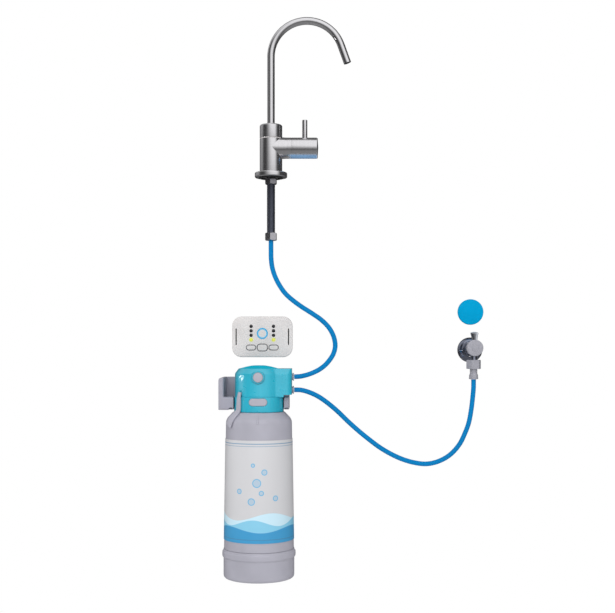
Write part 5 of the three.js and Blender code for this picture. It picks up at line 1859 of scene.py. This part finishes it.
@dataclass
class AngleValve:
    """Angle valve on the wall, with its rose, handle and push-fit adaptor."""

    at: Triple = (288.8, 0.0, 61.5)
    outlet_out: float = 42.0
    rose_shift: Triple = (1.0, 0.0, -1.4)
    rose_bore: float = 9.3
    rose_height: float = 12.0
    rose_flare: tuple[tuple[float, float], ...] = ((17.3, 0.0), (17.3, 2.0), (15.3, 6.0), (11.8, 9.0))
    rose_neck: float = 10.8
    body_radius: float = 9.0
    front: float = 46.7
    hexagon_radius: float = 11.5
    hexagon_levels: tuple[float, float] = (16.0, 25.0)
    stub_radius: float = 4.4
    spigot_radius: float = 8.1
    spigot_levels: tuple[float, float] = (-15.3, -20.5)
    handle_radius: float = 11.0
    handle_back: float = 47.0
    handle_front: float = 57.0
    spindle_radius: float = 3.4
    spindle_back: float = 43.3
    knob_lift: float = 1.2
    tab_top: float = 21.5
    tab_root: float = 8.0
    tab_half: float = 3.2
    tab_flare: float = 2.4
    tab_thick: float = 2.2
    tab_lean: float = math.radians(14)
    tab_turn: float = 0.42
    screw_radius: float = 4.2
    screw_stem: float = 1.5
    nut_radius: float = 10.1
    nut_bore: float = 5.2
    nut_levels: tuple[float, float] = (-27.1, -14.8)
    nut_turn: float = math.radians(8)
    tube_room: float = 3.5
    collet_room: float = 4.9
    collet_level: float = -38.6
    collet_depth: float = 3.6
    collet_stand: float = 1.2

    def rose(self) -> None:
        """Flared rose against the wall."""
        bore, height = self.rose_bore, self.rose_height
        line = [(bore, 0), *self.rose_flare, (self.rose_neck, height), (bore, height), (bore, 0)]
        shell = turned(line, [0, 0.4, 0.9, 3.0, 2.4, 0.8, 0.2, 0]).laid(Axis.OUT).moved(*self.at)
        made("wall_rose", shell.moved(*self.rose_shift), Body.FIXED, CHROME, ["escutcheon"])

    def body(self) -> None:
        """Valve body: barrel, hexagon and outlet stub."""
        body = placed("valve_trunk", rod(self.body_radius, 0, self.front, 0.6, FINE).laid(Axis.OUT))
        collar = hexagon_nut(self.hexagon_radius, *self.hexagon_levels, 4, 0.9)
        carved(body, collar.laid(Axis.OUT), Cut.JOIN)
        stub, spigot, (high, low) = self.stub_radius, self.spigot_radius, self.spigot_levels
        line = [(0, 0), (stub, 0), (stub, high), (spigot, high), (spigot, low), (0, low)]
        outlet = turned(line, [0, 0, 0.8, 0.3, 0.3, 0], MEDIUM)
        carved(body, outlet.moved(0, -self.outlet_out, 0), Cut.JOIN)
        shifted(body, Vector(self.at) * MM)
        dressed(body, Body.FIXED, CHROME, ["valve_body"])

    def on_spindle(self, name: str, shell: Shell, finish: Finish, *nodes: str) -> None:
        """Places a shell on the spindle's line and dresses it as a piece of the handle."""
        x, y, z = self.at
        made(name, shell.moved(x, y, z + self.knob_lift), Body.VALVE_HANDLE, finish, nodes)

    def handle(self) -> None:
        """Round knob with a flared tab and its screw."""
        stem, knob, back, front = self.spindle_radius, self.handle_radius, self.handle_back, self.handle_front
        line = [(0, self.spindle_back), (stem, self.spindle_back), (stem, back), (knob, back), (knob, front),
                (0, front)]
        turning = turned(line, [0, 0, 0, 0.8, 1.0, 0]).laid(Axis.OUT)
        self.on_spindle("valve_knob", turning, ZINC, "valve_handle")
        self.on_spindle("knob_tab", self.tab(), CHROME_LIGHT)
        stem, head = self.screw_stem, self.screw_radius
        line = [(0, front - 7), (stem, front - 7), (stem, front + 0.02), (head, front + 0.02),
                (head, front + 0.3), (0, front + 0.5)]
        screw = turned(line, [0, 0, 0, 0, 0.25, 0], MEDIUM).laid(Axis.OUT)
        self.on_spindle("knob_screw", screw, ZINC, "handle_screw")

    def tab(self) -> Shell:
        """The knob's tab: squared ovals that widen upwards, lean back and close to a round end.

        Returns:
            The tab about the spindle's line.
        """
        rise = self.tab_top - self.tab_root
        share = np.linspace(-0.3, 1, 26)
        half = self.tab_half + self.tab_flare * np.clip(share, 0, 1) ** 1.6
        angle = np.linspace(0, TURN, 32, endpoint=False)
        close = np.sqrt(np.clip(1 - np.clip((share - 0.86) / 0.145, 0, 1) ** 2, 0.02, 1))
        middle = (self.handle_back + self.handle_front) / 2
        lean = share * rise * math.tan(self.tab_lean)
        across = (half * close)[:, None] * squared(np.cos(angle), 0.5)
        away = -middle + self.tab_thick * close[:, None] * np.sin(angle) + lean[:, None]
        away = away - self.tab_turn * across
        level = self.tab_root + (share * rise)[:, None] + 0 * across
        return skin(np.stack([across, away, level], axis=-1))

    def adaptor(self) -> None:
        """Union nut, flared push-fit body and collet under the outlet."""
        x, _, z = self.at
        place = (x, -self.outlet_out, z)
        nut = hexagon_nut(self.nut_radius, *self.nut_levels, self.nut_bore, 0.3).spun(self.nut_turn)
        made("outlet_hexagon", nut.moved(*place), Body.FIXED, ZINC, ["adaptor_nut"], sharp=24)
        tube, room, mouth = self.tube_room, self.collet_room, self.collet_level
        line = [(tube, -20.8), (5.0, -20.8), (5.0, -33.4), (6.0, -35.4), (6.2, -40.7), (5.6, -40.7),
                (5.6, mouth), (room, mouth), (room, -33.8), (tube, -33.8), (tube, -20.8)]
        body = turned(line, [0, 0, 0.8, 0.7, 0.25, 0.2, 0, 0, 0, 0, 0], MEDIUM)
        made("push_fit_body", body.moved(*place), Body.FIXED, ZINC, ["adaptor_body"])
        ring = Collet().shell(self.collet_depth, self.collet_stand).laid(Axis.DOWN)
        ring = ring.moved(x, -self.outlet_out, z + mouth)
        made("adaptor_collet_ring", ring, Body.ADAPTOR_COLLET, GREY, ["adaptor_collet"])

    def build(self) -> None:
        """The whole valve."""
        self.rose()
        self.body()
        self.handle()
        self.adaptor()


@dataclass
class IndicatorPanel:
    """Wall indicator panel, with distances out from the wall."""

    at: Triple = (2.6, 0.0, 78.1)
    width: float = 83.0
    height: float = 56.0
    corner: float = 13.0
    wall: float = 2.0
    back_depth: float = 8.2
    depth: float = 15.0
    led_rows: int = 4
    led_spread: float = 15.4
    led_top: float = 14.4
    led_pitch: float = 6.15
    led_radius: float = 2.3
    led_back: float = 12.0
    halo_radius: float = 7.6
    halo_width: float = 1.7
    halo_level: float = 4.6
    halo_depth: float = 1.5
    key_level: float = -14.7
    key_spread: float = 15.5
    key_gap: float = 0.35
    key_back: float = 11.9
    key_proud: float = 0.4
    side_key: Triple = (13.4, 7.3, 3.65)
    middle_key: Triple = (14.3, 9.8, 3.9)
    slot_spread: float = 36.0
    slot_height: float = 22.8
    slot_width: float = 1.6
    through: tuple[float, float] = (10.0, 20.0)

    def keys(self) -> tuple[tuple[Body, float, float, float, float], ...]:
        """The panel's three keys.

        Returns:
            Body, place, width, height and corner of each key.
        """
        return (
            (Body.KEY_LEFT, -self.key_spread, *self.side_key),
            (Body.KEY_MIDDLE, 0.0, *self.middle_key),
            (Body.KEY_RIGHT, self.key_spread, *self.side_key),
        )

    def on_wall(self, shell: Shell, x: float = 0.0, z: float = 0.0) -> Shell:
        """Lays a shell outwards at a place on the panel."""
        return shell.laid(Axis.OUT).moved(self.at[0] + x, self.at[1], self.at[2] + z)

    def spots(self) -> list[tuple[float, float]]:
        """Places of the lamps on the panel.

        Returns:
            X and Z of each lamp, row by row from the top.
        """
        return [
            (side * self.led_spread, self.led_top - row * self.led_pitch)
            for row in range(self.led_rows)
            for side in (-1, 1)
        ]

    def windows(self) -> list[Shell]:
        """What is cut through the case's face.

        Returns:
            Slots and lamp holes, key holes and the ring's groove, lying flat.
        """
        slot = bar(self.slot_width, self.slot_height, self.slot_width / 2 - 0.01, *self.through)
        lamp = rod(self.led_radius + 0.1, *self.through, 0, SMALL)
        cuts = []
        for side in (-1, 1):
            cuts.append(slot.moved(side * self.slot_spread, 0, 0))
            cuts += [lamp.moved(x, z, 0) for x, z in self.spots() if x * side > 0]
        gap = self.key_gap
        for _, place, width, height, corner in self.keys():
            hole = bar(width + 2 * gap, height + 2 * gap, corner + gap, *self.through)
            cuts.append(hole.moved(place, self.key_level, 0))
        low, high = self.depth - self.halo_depth, self.through[1]
        groove = sleeve(self.halo_radius - self.halo_width - 0.1, self.halo_radius + 0.1, low, high, 0)
        return [*cuts, groove.moved(0, self.halo_level, 0)]

    def case(self) -> None:
        """Front shell, hollowed from behind, with its windows."""
        front = cushion(self.width, self.height, self.corner, self.back_depth + 0.3, self.depth, 1.6)
        case = placed("panel_shell", front)
        wall = self.wall
        inside = cushion(
            self.width - 2 * wall, self.height - 2 * wall, self.corner - wall, 0, self.depth - 2.6, 0.5
        )
        for part in (inside, *self.windows()):
            carved(case, part, Cut.TAKE)
        x, _, z = self.at
        case.data.transform(Matrix(((1, 0, 0, x * MM), (0, 0, -1, 0), (0, 1, 0, z * MM), (0, 0, 0, 1))))
        dressed(case, Body.FIXED, PALE, ["panel_front"])

    def caps(self) -> None:
        """Keys with their dark outlines."""
        for body, place, width, height, corner in self.keys():
            key = cushion(width, height, corner, self.key_back, self.depth + self.key_proud, 0.5)
            key = self.on_wall(key, place, self.key_level)
            made(f"{body.value}_cap", key, body, PALE, [body.value])
            outlines = [stadium(width, height, corner, inset) for inset in (0.75, 0.75, -0.05, -0.05)]
            heights = (self.depth - 0.5, self.depth + 0.5, self.depth + 0.5, self.depth - 0.5)
            rim = self.on_wall(lofted(outlines, heights, True), place, self.key_level)
            made(f"{body.value}_rim", rim, body, KEY_RIM)

    def lamps(self) -> None:
        """Dark lamps, the lowest pair lit with a painted glow round each, and the ring light with a painted
        glow inside it.
        """
        depth = self.depth
        back, radius = self.led_back, self.led_radius
        line = [(0, back), (radius, back), (radius, depth), (0, depth + 0.35)]
        lens = turned(line, [0, 0, 0.5, 0], SMALL)
        # Pale yellow rings round the two lit lamps: painted glow.
        glow = sleeve(radius + 0.05, radius + 0.9, depth - 0.5, depth + 0.06, 0, SMALL)
        lenses = [self.on_wall(lens, *spot) for spot in self.spots()]
        glow_rings = [self.on_wall(glow, *spot) for spot in self.spots()[-2:]]
        dark, lit = lenses[:-2], lenses[-2:]
        made("dark_lamps", sum(dark[1:], dark[0]), Body.FIXED, DARK_LENS, ["led_lenses"])
        made("lit_lamps", lit[0] + lit[1], Body.FIXED, LIT_LENS)
        made("painted_lamp_glows", glow_rings[0] + glow_rings[1], Body.FIXED, PAINTED_LED_GLOW)
        inner = self.halo_radius - self.halo_width
        ring = sleeve(inner, self.halo_radius, depth - self.halo_depth, depth + 0.15, 0.3)
        made("ring_lamp", self.on_wall(ring, 0, self.halo_level), Body.FIXED, RING_LIGHT, ["ring_light"])
        # Pale blue ring just inside the ring lamp: painted glow.
        edge = sleeve(inner - 0.9, inner - 0.1, depth - 0.5, depth + 0.06, 0)
        made("painted_ring_glow", self.on_wall(edge, 0, self.halo_level), Body.FIXED, PAINTED_RING_GLOW)

    def build(self) -> None:
        """The whole panel."""
        self.case()
        self.caps()
        self.lamps()


@dataclass
class Marker:
    """Round blue marker on the wall."""

    at: Triple = (290.5, 0.0, 112.6)
    radius: float = 17.7
    depth: float = 5.6

    def build(self) -> None:
        """A flat disc with a round front edge."""
        shell = rod(self.radius, 0, self.depth, [0, 0.3, 1.6, 0], FINE).laid(Axis.OUT)
        made("marker_button", shell.moved(*self.at), Body.FIXED, MARKER, ["marker_disc"])


def dress_carried_over() -> None:
    """Gives the CAD nodes that stay their finishes."""
    for finish, names in CARRIED_OVER.items():
        for name in names:
            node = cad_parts[name]
            node.data.materials.clear()
            node.data.materials.append(finish.material())
            log.info("%s: CAD node, %s", name, finish.name)


def main() -> None:
    """Builds the scene in order: camera and cords first."""
    logging.basicConfig(level=logging.INFO, format="%(name)s: %(message)s")
    bpy.context.scene.view_settings.view_transform = "Standard"
    for part in (
        Studio(), Tubes(), FilterHead(), GripLever(), WallBracket(), Cartridge(), Faucet(), AngleValve(),
        IndicatorPanel(), Marker(),
    ):
        part.build()
    dress_carried_over()


if __name__ == "__main__":
    main()
